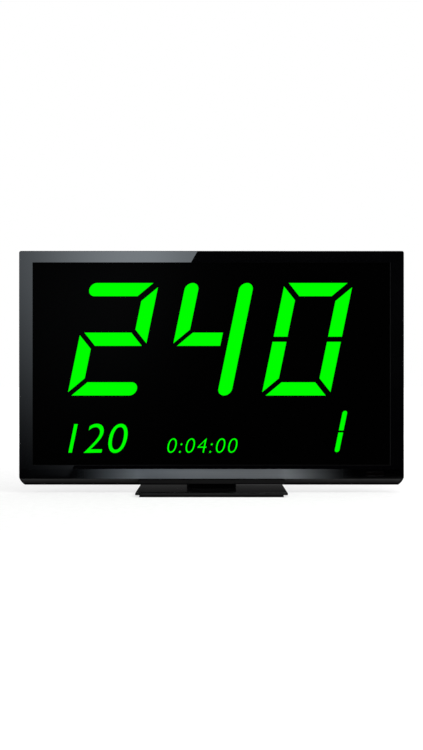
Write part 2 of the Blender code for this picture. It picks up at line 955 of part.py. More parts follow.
def timer_control_board():
    """The board that keeps the time and draws the picture, behind the row of sockets."""
    edge = control_board_half[0]
    connector_width, connector_height = cable_connector
    memory = [(x, 0.045, 0.014, 0.014, 0.0020) for x in (-0.060, -0.035)]
    supply_coil = (-0.070, -0.050, 0.020, 0.010, 0.0040)
    cable_end = (
        edge - connector_width,
        cable_above_bays,
        connector_width,
        cable_width + 2 * join_depth,
        connector_height,
    )
    harness_end = (edge - harness_connector[0] / 2, harness_above_bays, *harness_connector)
    chips = [*memory, supply_coil, cable_end, harness_end]
    cans = [(x, -0.052, 0.004, 0.008) for x in (0.020, 0.030)]
    return circuit_board("timer_control_board", terminal_bay_centre, control_board_half, chips, cans)


def heat_sink():
    """A finned block on the control board's processor."""
    x, z = terminal_bay_centre[0], terminal_bay_centre[1] + 0.048
    half = heat_sink_half
    foot = board_back_y + seat_gap
    sink = box("heat_sink", (x - half, foot, z - half), (x + half, foot + heat_sink_foot, z + half), parts)
    pitch = (2 * half - heat_sink_fin) / (heat_sink_fins - 1)
    spans = []
    for i in range(heat_sink_fins):
        left = x - half + i * pitch
        low = (left, foot + heat_sink_foot - join_depth, z - half)
        spans.append((low, (left + heat_sink_fin, foot + heat_sink_height, z + half)))
    return paint(join(sink, boxes("heat_sink_fins", spans)), bare_aluminium())


def power_supply_board():
    """The mains board with its filter, capacitors and regulators."""
    harness_end = (harness_connector[0] / 2 - power_board_half[0], harness_above_bays, *harness_connector)
    mains_filter = (-0.066, -0.060, 0.030, 0.018, 0.016)
    relay = (0.060, -0.062, 0.020, 0.024, 0.018)
    switching_sink = (-0.072, 0.055, 0.008, 0.036, 0.022)
    output_coil = (0.070, 0.060, 0.026, 0.014, 0.010)
    chips = [harness_end, mains_filter, relay, switching_sink, output_coil]
    cans = [(-0.030, -0.060, 0.011, 0.026), (0.000, -0.060, 0.011, 0.026), (0.030, 0.060, 0.005, 0.014)]
    return circuit_board("power_supply_board", mains_bay_centre, power_board_half, chips, cans)


def power_transformer():
    """The transformer on the mains board: a core with two windows round the winding."""
    x, z = mains_bay_centre[0] - 0.025, mains_bay_centre[1] + 0.058
    half_x, half_z = transformer_half
    foot, top = board_back_y + seat_gap, board_back_y + seat_gap + transformer_height
    core = box("power_transformer", (x - half_x, foot, z - half_z), (x + half_x, top, z + half_z), parts)
    inner_x = half_x - transformer_wall
    low, high = foot + transformer_wall, top - transformer_wall
    windows = []
    for side in (-1, 1):
        near, far = sorted((z + side * transformer_wall, z + side * (half_z + cut_past)))
        windows.append(((x - inner_x, low, near), (x + inner_x, high, far)))
    winding = rods_along_y(
        "transformer_winding", winding_radius, [(x, z)], low - join_depth, high + join_depth, 16
    )
    cut(core, boxes("transformer_windows", windows))
    return paint(join(core, winding), copper_winding())


def timing_board_centre():
    return 0.0, screen_middle + timing_board_above_middle


def panel_timing_board():
    """The narrow board in the middle that drives the liquid crystal cell."""
    processor = (0.0, 0.006, 0.018, 0.018, 0.002)
    cell_connector = (0.050, 0.014, 0.026, 0.006, 0.003)
    height, thickness = cable_connector
    cable_end = (
        -cable_left_of_middle,
        height - timing_board_half[1],
        cable_width + 2 * join_depth,
        height,
        thickness,
    )
    chips = [processor, cell_connector, cable_end]
    return circuit_board("panel_timing_board", timing_board_centre(), timing_board_half, chips)


def panel_flat_cable():
    """The flat cable from the control board, folded square on its way to the timing board."""
    x, z = timing_board_centre()
    near = x - cable_left_of_middle - cable_width / 2
    far = near + cable_width
    connector_half = cable_connector[0] / 2
    top = z - timing_board_half[1] + connector_half - seat_gap
    start = terminal_bay_centre[0] + control_board_half[0] - connector_half + seat_gap
    low = terminal_bay_centre[1] + cable_above_bays - cable_width / 2
    high = low + cable_width
    outline = [(near, top), (near, high), (start, high), (start, low), (far, low), (far, top)]
    front = board_back_y + (cable_connector[1] - cable_thickness) / 2
    cable = outline_solid("panel_flat_cable", [outline], "Y", front, front + cable_thickness, parts)
    return paint(cable, white_plastic())


def power_harness():
    """The bundle of wires from the power board to the control board, over the mounting rails."""
    y = board_back_y + harness_connector[2] / 2
    z = bay_middle_z + harness_above_bays
    start = terminal_bay_centre[0] + control_board_half[0] + slide_gap
    end = mains_bay_centre[0] - power_board_half[0] - slide_gap
    curve = bpy.data.curves.new("power_harness", "CURVE")
    curve.dimensions = "3D"
    curve.bevel_depth = harness_radius
    curve.bevel_resolution = 2
    curve.use_fill_caps = True
    spline = curve.splines.new("POLY")
    spline.points.add(harness_points - 1)
    for i, point in enumerate(spline.points):
        share = i / (harness_points - 1)
        sag = -harness_sag * math.sin(math.pi * share) ** 2
        point.co = (start + (end - start) * share, y, z + sag, 1)
    harness = bpy.data.objects.new("power_harness", curve)
    parts.objects.link(harness)
    return paint(harness, soft_rubber())


def speaker(name, side):
    """A slim box on the floor of the cabinet; its oval driver fires down."""
    length, height = speaker_size
    x = side * speaker_x
    low = cabinet_bottom + shell_wall + speaker_floor_gap
    front = front_y + lip_depth + shell_wall + seat_gap
    back = cover_flat_end_y - shell_wall - seat_gap
    y = (front + back) / 2
    cabinet = box(name, (x - length / 2, front, low), (x + length / 2, back, low + height), parts)
    top_radius, mouth_radius = cone_radii
    slope = (mouth_radius - top_radius) / cone_depth
    cone = rods(
        name + "_cone",
        mouth_radius + slope * cut_past,
        [((x, y, low - cut_past), (x, y, low + cone_depth))],
        sides=20,
        tip_radius=top_radius,
    )
    cone.scale = (cone_stretch, 1, 1)
    return paint(cut(cabinet, cone), satin_black())


# Rear cover


def cover_rings(drawn_in):
    """Sections of the rear cover; drawn_in is 0 for the outside, the wall for the hollow."""
    round_corner = arc_corner(plateau_corner_radius)
    flat_end = cover_step_in + cover_lean
    edge = [(cover_front_y - 2 * drawn_in, cover_step_in), (cover_flat_end_y - drawn_in, flat_end)]
    edge += [(edge_y - before - drawn_in, flat_end + inset) for before, inset in cover_rim]
    rings = [cabinet_ring(y, inset + drawn_in, inset + drawn_in, inset + drawn_in) for y, inset in edge]

    side_inset = cabinet_width / 2 - bay_middle_x - plateau_border
    raised = [(edge_y + plateau_foot_height, -plateau_foot_spread)]
    raised += [(back_y - before, inset) for before, inset in plateau_rim]
    for y, more in raised:
        ring = cabinet_ring(
            y - drawn_in,
            side_inset + more + drawn_in,
            plateau_top_inset + more + drawn_in,
            plateau_bottom_inset + max(more, -plateau_bottom_spread) + drawn_in,
            round_corner,
            round_corner,
        )
        rings.append(ring)
    return rings


def recess_outline(bottom, margin=0.0):
    """The recess that the neck stands in, as (x, z), with rounded upper corners."""
    half = upright_width / 2 + recess_side_clearance + margin
    top = upright_z + upright_height + recess_above_upright + margin
    return framed(half, bottom, top, arc_corner(0.0, 1), arc_corner(recess_corner_radius + margin, 3))


def neck_recess(name, margin=0.0):
    """A cutter for the recess, which is open at the bottom and to the rear."""
    outline = recess_outline(cabinet_bottom - cut_past, margin)
    return outline_solid(name, [outline], "Y", recess_floor_y - margin, back_y + cut_past)


def sunk_bay(name, centre, size, margin=0.0):
    """A cutter for a sunk bay in the back, open to the rear."""
    half = (size[0] / 2 + margin, size[1] / 2 + margin)
    low = (centre[0] - half[0], bay_floor_y - margin, centre[1] - half[1])
    high = (centre[0] + half[0], back_y + cut_past, centre[1] + half[1])
    return box(name, low, high)


def vent_slots():
    """Rows of air slots through the raised back: two at the top, and one each side of the neck."""
    width, height = vent_slot
    top = cabinet_top - plateau_top_inset - vents_from_top - height / 2
    low = cabinet_bottom + plateau_bottom_inset + lower_vents_above_edge
    rows = [
        (0.0, top, vents_in_row),
        (0.0, top - height - vent_row_gap, vents_in_row),
        (-lower_vents_middle, low, lower_vents_in_row),
        (lower_vents_middle, low, lower_vents_in_row),
    ]
    front, back = back_y - shell_wall - cut_past, back_y + cut_past
    spans = []
    for middle, z, count in rows:
        for i in range(count):
            x = middle + (i - (count - 1) / 2) * vent_pitch
            low_corner = (x - width / 2, front, z - height / 2)
            spans.append((low_corner, (x + width / 2, back, z + height / 2)))
    return boxes("vent_slots", spans)


def sound_slots():
    """Slots under each speaker, in the bottom wall of the cover."""
    width, depth = sound_slot
    low, high = cabinet_bottom - cut_past, cabinet_bottom + shell_wall + cut_past
    spans = []
    for side in (-1, 1):
        for i in range(sound_slots_in_row):
            x = side * speaker_x + (i - (sound_slots_in_row - 1) / 2) * sound_pitch
            low_corner = (x - width / 2, key_y - depth / 2, low)
            spans.append((low_corner, (x + width / 2, key_y + depth / 2, high)))
    return boxes("sound_slots", spans)


def key_centres():
    """Places of the side keys: (name, y, z)."""
    middle = (len(key_names) - 1) / 2
    row_middle = rear_middle - keys_below_middle
    return [(name, key_y, row_middle + (middle - i) * key_pitch) for i, name in enumerate(key_names)]


def key_holes():
    """Holes for the keys through the right side wall."""
    half_y, half_z = key_size[0] / 2 + seat_gap, key_size[1] / 2 + seat_gap
    outer = cabinet_width / 2 + cut_past
    inner = cabinet_width / 2 - cover_step_in - cover_lean - shell_wall - cut_past
    spans = [((inner, y - half_y, z - half_z), (outer, y + half_y, z + half_z)) for _, y, z in key_centres()]
    return boxes("key_holes", spans)


def neck_screw_places():
    """(x, z) of the four screws that hold the display on its neck."""
    half = neck_screw_spread / 2
    return [(x, upright_z + up) for x in (-half, half) for up in neck_screw_heights]


def rear_cover():
    """The moulded back: a shallow edge, a raised middle with bays, a neck recess and slots."""
    cover = loft("rear_cover", cover_rings(0.0), parts)
    cavity = loft("cover_cavity", cover_rings(shell_wall))
    places = fastening_places()
    cut(
        cavity,
        rods_along_y("screw_bosses", boss_radius, places, cover_front_y - cut_past, edge_y),
        neck_recess("recess_walls", bay_wall),
        sunk_bay("terminal_bay_walls", terminal_bay_centre, terminal_bay_size, bay_wall),
        sunk_bay("mains_bay_walls", mains_bay_centre, mains_bay_size, bay_wall),
    )
    cut(
        cover,
        cavity,
        neck_recess("neck_recess"),
        sunk_bay("terminal_bay", terminal_bay_centre, terminal_bay_size),
        sunk_bay("mains_bay", mains_bay_centre, mains_bay_size),
        vent_slots(),
        sound_slots(),
        key_holes(),
        socket_holes(),
    )
    well_floor = bezel_back_y + screw_well_floor
    recess_front, recess_rear = recess_floor_y - bay_wall - cut_past, recess_floor_y + cut_past
    back_front, back_rear = back_y - shell_wall - cut_past, back_y + cut_past
    neck_hole_radius = neck_screw_radius + slide_gap
    boss_hole_radius = mount_boss_radius + slide_gap
    cut(
        cover,
        rods_along_y("screw_wells", screw_well_radius, places, well_floor, back_y),
        rods_along_y("screw_holes", screw_hole_radius, places, cover_front_y - cut_past, back_y, 6),
        rods_along_y("neck_holes", neck_hole_radius, neck_screw_places(), recess_front, recess_rear, 10),
        rods_along_y("boss_holes", boss_hole_radius, mount_places(), back_front, back_rear, 16),
    )
    return paint(smooth(cover), satin_black())


# Sockets in the terminal bay


def socket_places():
    """The row of sockets: name, x, body (width, height), mouth (width, height), tongue."""
    kinds = (
        ("hdmi_socket_1", (0.0165, 0.0078), (0.0144, 0.0050), (0.0110, 0.0016)),
        ("hdmi_socket_2", (0.0165, 0.0078), (0.0144, 0.0050), (0.0110, 0.0016)),
        ("usb_socket", (0.0148, 0.0074), (0.0128, 0.0054), (0.0112, 0.0018)),
        ("network_socket", (0.0165, 0.0140), (0.0122, 0.0084), None),
        ("sound_output_socket", (0.0120, 0.0120), None, None),
    )
    middle = (len(kinds) - 1) / 2
    return [
        (name, terminal_bay_centre[0] + (i - middle) * socket_pitch, body, mouth, tongue)
        for i, (name, body, mouth, tongue) in enumerate(kinds)
    ]


def centred_span(x, z, size, front, back):
    """A box span of a width and height about (x, z), between two depths."""
    return (x - size[0] / 2, front, z - size[1] / 2), (x + size[0] / 2, back, z + size[1] / 2)


def socket_holes():
    """Holes in the floors of the bays, each a little larger than what looks out of it."""
    front, back = bay_floor_y - bay_wall - cut_past, bay_floor_y + cut_past
    spans = [centred_span(x, bay_middle_z, body, front, back) for _, x, body, _, _ in socket_places()]
    for low, high in (inlet_span(), switch_span()):
        spans.append(((low[0], front, low[2]), (high[0], back, high[2])))
    return boxes("socket_holes", [grown(span, seat_gap) for span in spans])


def sockets():
    """Metal-shelled sockets that stand on the control board and look out of the bay."""
    z = bay_middle_z
    foot = board_back_y + seat_gap
    face = foot + socket_length
    floor = face - socket_mouth_depth
    for name, x, size, mouth, tongue in socket_places():
        body = box(name, *centred_span(x, z, size, foot, face), parts)
        if mouth is None:
            bore = rods_along_y(name + "_bore", sound_bore_radius, [(x, z)], floor, face + cut_past, 12)
            paint(cut(body, bore), satin_black())
            continue
        cut(body, box(name + "_mouth", *centred_span(x, z, mouth, floor, face + cut_past)))
        if tongue is None:
            width, height = latch_notch
            top = z + mouth[1] / 2
            notch_low = (x - width / 2, floor, top - join_depth)
            cut(body, box(name + "_latch_notch", notch_low, (x + width / 2, face + cut_past, top + height)))
        else:
            blade_span = centred_span(x, z, tongue, floor - join_depth, face - tongue_set_back)
            join(body, box(name + "_tongue", *blade_span))
        paint(body, zinc_steel())


# Mains inlet and its switch


def inlet_span():
    """Body of the mains inlet, behind the floor of its bay."""
    size = (2 * inlet_half[0], 2 * inlet_half[1])
    x = mains_bay_centre[0] - inlet_from_bay_middle
    return centred_span(x, bay_middle_z, size, board_back_y + seat_gap, bay_floor_y + seat_gap)


def switch_span():
    """Body of the mains switch, beside the inlet."""
    size = (2 * switch_half[0], 2 * switch_half[1])
    x = mains_bay_centre[0] + switch_from_bay_middle
    return centred_span(x, bay_middle_z, size, bay_floor_y - switch_length, bay_floor_y + seat_gap)


def flanged_body(name, span, flange):
    """A body that reaches through a bay's floor, with a flange on the outside: (body, face)."""
    low, high = span
    width, thickness = flange
    face = bay_floor_y + seat_gap + thickness
    body = box(name, low, (high[0], face - join_depth, high[2]), parts)
    plate = box(
        name + "_flange",
        (low[0] - width, bay_floor_y + seat_gap, low[2] - width),
        (high[0] + width, face, high[2] + width),
    )
    return join(body, plate), face


def mains_inlet():
    """A three-pin appliance inlet: a flanged body with a deep socket and flat pins."""
    body, face = flanged_body("mains_inlet", inlet_span(), inlet_flange)
    x, z = mains_bay_centre[0] - inlet_from_bay_middle, bay_middle_z
    half_x, half_z = inlet_half[0] - inlet_wall, inlet_half[1] - inlet_wall
    right = [(half_x, -half_z), (half_x, half_z - inlet_corner), (half_x - inlet_corner, half_z)]
    mouth = right + [(-u, v) for u, v in reversed(right)]
    floor = face - inlet_mouth_depth
    outline = [(x + u, z + v) for u, v in mouth]
    cut(body, outline_solid("inlet_mouth", [outline], "Y", floor, face + cut_past))
    pin_size = (2 * inlet_pin_half[0], 2 * inlet_pin_half[1])
    pins = [
        centred_span(x + u, z + v, pin_size, floor - join_depth, face - inlet_pin_set_back)
        for u, v in inlet_pin_places
    ]
    return paint(join(body, boxes("inlet_pins", pins)), satin_black())


def rocker_axis():
    """The rocker's pivot: (x, y, z), just behind the floor of the bay."""
    return mains_bay_centre[0] + switch_from_bay_middle, bay_floor_y - rocker_axis_sunk, bay_middle_z


def trunnion_ends(more=0.0):
    x, y, z = rocker_axis()
    reach = rocker_half[0] + slide_gap + trunnion_reach + more
    return [((x - reach, y, z), (x + reach, y, z))]


def mains_switch_housing():
    """The fixed body of the mains switch, with a seat for each of the rocker's trunnions."""
    housing, face = flanged_body("mains_switch_housing", switch_span(), switch_flange)
    x, _, z = rocker_axis()
    room = (2 * (rocker_half[0] + slide_gap), 2 * (rocker_half[1] + rocker_end_room))
    hollow_front = bay_floor_y - switch_length + shell_wall
    hollow = box("switch_hollow", *centred_span(x, z, room, hollow_front, face + cut_past))
    seats = rods("trunnion_seats", trunnion_radius + seat_gap, trunnion_ends(seat_gap))
    return paint(cut(housing, hollow, seats), satin_black())


def mains_switch_rocker():
    """The rocker, with a dished face, tilted to its on position."""
    x, y, z = rocker_axis()
    half_x, half_z = rocker_half
    tail_depth, tail_half = rocker_tail
    crown_y = y + rocker_crown
    upper = [(y - tail_depth, z + tail_half), (y - rocker_shoulder, z + half_z), (crown_y, z + half_z)]
    lower = [(v, 2 * z - w) for v, w in reversed(upper)]
    outline = [*upper, (crown_y - rocker_dish, z), *lower]
    rocker = outline_solid("mains_switch_rocker", [outline], "X", x - half_x, x + half_x, parts)
    join(rocker, rods("trunnions", trunnion_radius, trunnion_ends()))
    set_origin(rocker, (x, y, z))
    rocker.rotation_euler = (math.radians(rocker_tilt_degrees), 0, 0)
    return paint(rocker, satin_black())


# Side keys


def cover_side_x(y, drawn_in=0.0):
    """The cover's leaning side wall at a depth: its outer face, or its inner face at the wall."""
    first_y, last_y = cover_front_y - 2 * drawn_in, cover_flat_end_y - drawn_in
    share = (y - first_y) / (last_y - first_y)
    return cabinet_width / 2 - drawn_in - cover_step_in - share * cover_lean


def side_key(name, y, z):
    """A push key in the right side wall, with a retaining flange and a stem."""
    half_y, half_z = key_size[0] / 2 - seat_gap / 2, key_size[1] / 2 - seat_gap / 2
    width, thickness = key_flange
    outer = cover_side_x(y) + key_proud
    flange_face = cover_side_x(y + half_y + width, shell_wall) - seat_gap
    inner = flange_face - thickness
    key = box(name, (inner + join_depth, y - half_y, z - half_z), (outer, y + half_y, z + half_z), parts)
    soften(key, key_edge_round)
    flange = box(
        name + "_flange",
        (inner, y - half_y - width, z - half_z - width),
        (flange_face, y + half_y + width, z + half_z + width),
    )
    stem_ends = [((key_stem_end_x(), y, z), (inner + join_depth, y, z))]
    join(key, flange, rods(name + "_stem", key_stem_radius, stem_ends, sides=8))
    set_origin(key, (outer, y, z))
    return paint(key, gloss_black())


def key_stem_end_x():
    return cabinet_width / 2 - key_stem_from_side


def key_board():
    """The upright strip of circuit board with one switch behind each key."""
    button_face = key_stem_end_x() - key_travel - seat_gap
    face = button_face - key_switch_height
    centres = [(y, z) for _, y, z in key_centres()]
    top, bottom = centres[0][1] + key_board_overhang, centres[-1][1] - key_board_overhang
    board = box(
        "key_board",
        (face - board_thickness, key_y - key_board_half_width, bottom),
        (face, key_y + key_board_half_width, top),
        parts,
    )
    button_radius, button_reach = key_switch_button
    half = key_switch_body_half
    start, body_face = face - join_depth, button_face - button_reach
    bodies = [((start, y - half, z - half), (body_face, y + half, z + half)) for y, z in centres]
    buttons = [((start, y, z), (button_face, y, z)) for y, z in centres]
    wall = cover_side_x(key_y + key_board_post_radius, shell_wall) - seat_gap
    post_heights = (top - 2 * key_board_post_radius, bottom + 2 * key_board_post_radius)
    posts = [((start, key_y, z), (wall, key_y, z)) for z in post_heights]
    join(
        board,
        boxes("switch_bodies", bodies),
        rods("switch_buttons", button_radius, buttons, sides=8),
        rods("key_board_posts", key_board_post_radius, posts, sides=8),
    )
    return paint(board, circuit_green())


# Pedestal


def base_ring(z, inset):
    """One level section of the base."""
    corner = arc_corner(max(base_corner_radius - inset / 3, base_corner_radius / 3))
    half_depth = base_depth / 2 - inset
    outline = framed(base_width / 2 - inset, -half_depth, half_depth, corner, corner)
    return [(x, y, z) for x, y in outline]


def weight_plate_span():
    half_width = base_width / 2 - weight_plate_inset
    half_depth = base_depth / 2 - weight_plate_inset
    top = weight_plate_z + weight_plate_thickness
    return (-half_width, -half_depth, weight_plate_z), (half_width, half_depth, top)


def stand_base_cover():
    """The visible base: a thin moulding with an upright rim, a sunk plinth and a round well."""
    land = base_edge_land
    rings = [
        base_ring(foot_height, base_undercut),
        base_ring(base_rim_bottom - land, base_undercut),
        base_ring(base_rim_bottom, land),
        base_ring(base_rim_bottom + land, 0.0),
        base_ring(base_height - base_top_chamfer, 0.0),
        base_ring(base_height - base_top_chamfer / 4, base_top_chamfer / 4),
        base_ring(base_height, base_top_chamfer),
    ]
    cover = loft("stand_base_cover", rings, parts)
    low, high = weight_plate_span()
    pocket = box(
        "weight_plate_pocket",
        (low[0] - slide_gap, low[1] - slide_gap, foot_height - cut_past),
        (high[0] + slide_gap, high[1] + slide_gap, high[2] + seat_gap),
    )
    well_radius = turntable_radius + slide_gap
    well = rods_along_z("turntable_well", well_radius, [(0, pivot_y)], 0, base_height + cut_past, 56)
    return paint(smooth(cut(cover, pocket, well), 20), gloss_black())


def stop_place():
    """(x, y) of the stop pin, behind the pivot."""
    return 0.0, pivot_y + stop_circle_radius


def stand_base_plate():
    """The steel plate that weighs the base down and carries the swivel."""
    plate = box("stand_base_plate", *weight_plate_span(), parts)
    low, high = weight_plate_z - cut_past, weight_plate_z + weight_plate_thickness + cut_past
    stud_hole = rods_along_z("stud_hole", stud_radius + seat_gap, [(0, pivot_y)], low, high)
    pin_hole = rods_along_z("pin_hole", stop_pin_radius + seat_gap, [stop_place()], low, high, 12)
    return paint(cut(plate, stud_hole, pin_hole), zinc_steel())


def base_feet():
    """Four rubber pads under the corners of the steel plate."""
    x, y = base_width / 2 - foot_inset, base_depth / 2 - foot_inset
    places = {
        "base_foot_front_left": (-x, -y),
        "base_foot_front_right": (x, -y),
        "base_foot_rear_left": (-x, y),
        "base_foot_rear_right": (x, y),
    }
    edge = foot_edge_round
    profile = [
        (0.0, foot_height),
        (foot_radius, foot_height),
        (foot_radius, edge),
        (foot_radius - edge, 0.0),
        (0.0, 0.0),
    ]
    for name, (x, y) in places.items():
        foot = turned(name, profile, (x, y, 0.0), group=parts)
        paint(smooth(foot), soft_rubber())


def disc_profile(radius, bore, thickness):
    """The turned profile of a flat disc with a bore."""
    return [(radius, thickness), (radius, 0.0), (bore, 0.0), (bore, thickness)]


def swivel_glide_ring():
    """The slippery ring on the steel plate that the turntable rests on."""
    profile = disc_profile(glide_ring_radius, glide_ring_radius - glide_ring_width, glide_ring_thickness)
    ring = turned("swivel_glide_ring", profile, (0, pivot_y, glide_z), sides=40, group=parts, bored=True)
    return paint(smooth(ring), white_plastic())


def pivot_fastening():
    """The stud in the steel plate, and the washer and nut that hold the turntable down on it."""
    bore = stud_radius + seat_gap
    washer_z = turntable_top + seat_gap
    washer = turned(
        "pivot_washer",
        disc_profile(washer_radius, bore, washer_thickness),
        (0, pivot_y, washer_z),
        sides=16,
        group=parts,
        bored=True,
    )
    paint(smooth(washer), zinc_steel())
    nut_z = washer_z + washer_thickness + seat_gap
    loops = [circle((0, pivot_y), nut_radius, 6), circle((0, pivot_y), bore, 16)]
    paint(outline_solid("pivot_nut", loops, "Z", nut_z, nut_z + nut_height, parts), zinc_steel())
    height = nut_z + nut_height + stud_above_nut - weight_plate_z
    profile = [
        (0.0, height),
        (stud_radius - stud_chamfer, height),
        (stud_radius, height - stud_chamfer),
        (stud_radius, 0.0),
        (0.0, 0.0),
    ]
    stud = turned("swivel_pivot_stud", profile, (0, pivot_y, weight_plate_z), sides=16, group=parts)
    return paint(smooth(stud), zinc_steel())


def swivel_stop_pin():
    """The pin in the steel plate that stands up into the turntable's groove."""
    top = turntable_z + stop_pin_reach
    pin = rods_along_z(
        "swivel_stop_pin", stop_pin_radius, [stop_place()], weight_plate_z, top, 12, parts
    )
    return paint(smooth(pin), zinc_steel())


def stop_groove():
    """The arc under the turntable in which the stop pin runs, as long as the swivel allows."""
    half_width = stop_pin_radius + seat_gap
    reach = math.radians(swivel_limit_degrees) + (half_width + seat_gap) / stop_circle_radius
    steps = 10
    turns = [math.pi / 2 - reach + 2 * reach * i / steps for i in range(steps + 1)]
    outer = [(stop_circle_radius + half_width, a) for a in turns]
    inner = [(stop_circle_radius - half_width, a) for a in reversed(turns)]
    loop = [(r * math.cos(a), pivot_y + r * math.sin(a)) for r, a in outer + inner]
    top = turntable_z + stop_pin_reach + slide_gap
    return outline_solid("stop_groove", [loop], "Z", turntable_z - cut_past, top)


def foot_screw_places():
    """(x, y) of the two screws that hold the neck's foot to the turntable."""
    return [(side * foot_screw_spread / 2, pivot_y) for side in (-1, 1)]


def foot_screw_holes(name, low, high):
    radius = neck_screw_radius + seat_gap
    return rods_along_z(name, radius, foot_screw_places(), low - cut_past, high + cut_past, 10)


def swivel_turntable():
    """The round steel disc that the neck stands on; it turns on the glide ring."""
    disc = turned(
        "swivel_turntable",
        disc_profile(turntable_radius, stud_radius + seat_gap, turntable_thickness),
        (0, pivot_y, turntable_z),
        sides=56,
        group=parts,
        bored=True,
    )
    cut(disc, stop_groove(), foot_screw_holes("turntable_screw_holes", turntable_z, turntable_top))
    return paint(smooth(disc), gloss_black())


# Neck


def neck_upright():
    """The folded steel channel between the turntable and the display."""
    half, sheet = upright_width / 2, upright_sheet
    front, back = pivot_y - upright_depth / 2, pivot_y + upright_depth / 2
    top = upright_z + upright_height
    right = [(half, front), (half, back), (half - sheet, back), (half - sheet, front + sheet)]
    outline = right + [(-x, y) for x, y in reversed(right)]
    upright = outline_solid("neck_upright", [outline], "Z", upright_z, top, parts)
    join(upright, box("neck_foot", (-half, front, upright_z), (half, back, upright_z + sheet)))

    foot_top = upright_z + sheet
    nut_room = rods_along_z(
        "nut_room", nut_room_radius, [(0, pivot_y)], upright_z - cut_past, foot_top + cut_past, 20
    )
    hole_radius = neck_screw_radius + seat_gap
    face_front, face_back = front - cut_past, front + sheet + cut_past
    screw_holes = rods_along_y(
        "upright_screw_holes", hole_radius, neck_screw_places(), face_front, face_back, 10
    )
    slope_depth, slope_height = upright_top_slope
    above, behind = top + cut_past, back + cut_past
    slope_outline = [(back - slope_depth, above), (behind, above), (behind, top - slope_height)]
    slope = outline_solid("flange_slope", [slope_outline], "X", -half - cut_past, half + cut_past)
    foot_holes = foot_screw_holes("neck_foot_holes", upright_z, foot_top)
    return paint(cut(upright, nut_room, screw_holes, slope, foot_holes), zinc_steel())


def pan_screw(name, seat, out, length):
    """A screw whose head sits at a point and faces out, with its shank the other way."""
    crown_radius, head_radius = pan_head_radii
    profile = [
        (0.0, pan_head_height),
        (crown_radius, pan_head_height),
        (head_radius, pan_head_height / 2),
        (head_radius, 0.0),
        (neck_screw_radius, 0.0),
        (neck_screw_radius, -length),
        (0.0, -length),
    ]
    return paint(smooth(turned(name, profile, seat, out, sides=10, group=parts)), zinc_steel())


def screws():
    """Pan-head screws: four hold the display on its neck, two hold the neck's foot."""
    head_y = pivot_y - upright_depth / 2 + upright_sheet + seat_gap
    for i, (x, z) in enumerate(neck_screw_places()):
        pan_screw(f"neck_screw_{i + 1}", (x, head_y, z), (0, 1, 0), neck_screw_length)
    head_z = upright_z + upright_sheet + seat_gap
    length = head_z - turntable_z - foot_screw_end_gap
    for i, (x, y) in enumerate(foot_screw_places()):
        pan_screw(f"foot_screw_{i + 1}", (x, y, head_z), (0, 0, 1), length)


def collar_loop(inset):
    corner = arc_corner(collar_corner_radius - inset)
    half_depth = upright_depth / 2 + collar_wall + seat_gap - inset
    outline = framed(collar_width / 2 - inset, -half_depth, half_depth, corner, corner)
    return [(x, y + pivot_y) for x, y in outline]


def neck_collar():
    """The glossy sleeve that hides the foot of the neck."""
    low, high = turntable_top + seat_gap, cabinet_bottom - collar_below_cabinet
    loops = [collar_loop(0.0), collar_loop(collar_wall)]
    collar = outline_solid("neck_collar", loops, "Z", low, high, parts)
    return paint(smooth(collar), gloss_black())


def stand_bracket():
    """The hat-shaped bracket between the tray and the cover's recess that the screws grip."""
    base = tray_back_y + seat_gap
    top = recess_floor_y - bay_wall - seat_gap
    half = bracket_width / 2
    outline = hat_section(half - bracket_flange, half, base, top, bracket_sheet)
    low = upright_z + min(neck_screw_heights) - bracket_margin
    high = upright_z + max(neck_screw_heights) + bracket_margin
    bracket = outline_solid("stand_bracket", [outline], "Z", low, high, parts)
    hole_radius = neck_screw_radius + seat_gap
    front, back = top - bracket_sheet - cut_past, top + cut_past
    holes = rods_along_y("bracket_screw_holes", hole_radius, neck_screw_places(), front, back, 10)
    return paint(cut(bracket, holes), zinc_steel())


def neck_rear_cover():
    """The flush plate that closes the neck's recess at the back, with four hooks."""
    bottom = cabinet_bottom + plateau_bottom_inset + neck_cover_above_edge
    outline = recess_outline(bottom, -slide_gap)
    face = back_y - neck_cover_sunk
    inner = face - neck_cover_thickness
    plate = outline_solid("neck_rear_cover", [outline], "Y", inner, face, parts)
    edge, top = max(x for x, _ in outline), max(z for _, z in outline)
    width, reach, height = neck_cover_hook
    spans = []
    for side in (-1, 1):
        left, right = sorted((side * edge, side * (edge - width)))
        for z in (bottom + neck_cover_hook_inset[0], top - neck_cover_hook_inset[1]):
            spans.append(((left, face - reach, z), (right, inner + join_depth, z + height)))
    return paint(join(plate, boxes("neck_cover_hooks", spans)), satin_black())


# Putting it together


def hang_on(empty_name, place, names):
    """Parents pieces to an empty on the axis that they turn about, without moving them."""
    empty = bpy.data.objects.new(empty_name, None)
    empty.location = place
    empty.hide_render = True
    parts.objects.link(empty)
    for name in names:
        obj = bpy.data.objects[name]
        obj.parent = empty
        obj.matrix_parent_inverse = Matrix.Translation(-Vector(place))


def build_cabinet():
    front_bezel()
    trim_strip()
    sensor_window()
    sensor_board()
    screen_layers()
    panel_mid_frame()
    backlight_tray()
    light_bar("led_bar_upper", 1)
    light_bar("led_bar_lower", -1)
    wall_mount_rail("wall_mount_rail_left", -1)
    wall_mount_rail("wall_mount_rail_right", 1)
    timer_control_board()
    heat_sink()
    power_supply_board()
    power_transformer()
    panel_timing_board()
    panel_flat_cable()
    power_harness()
    speaker("speaker_left", -1)
    speaker("speaker_right", 1)
    rear_cover()
    sockets()
    mains_inlet()
    mains_switch_housing()
    mains_switch_rocker()
    for name, y, z in key_centres():
        side_key(name, y, z)
    key_board()
    stand_bracket()
    neck_rear_cover()


def build_neck():
    swivel_turntable()
    neck_upright()
    neck_collar()
    screws()


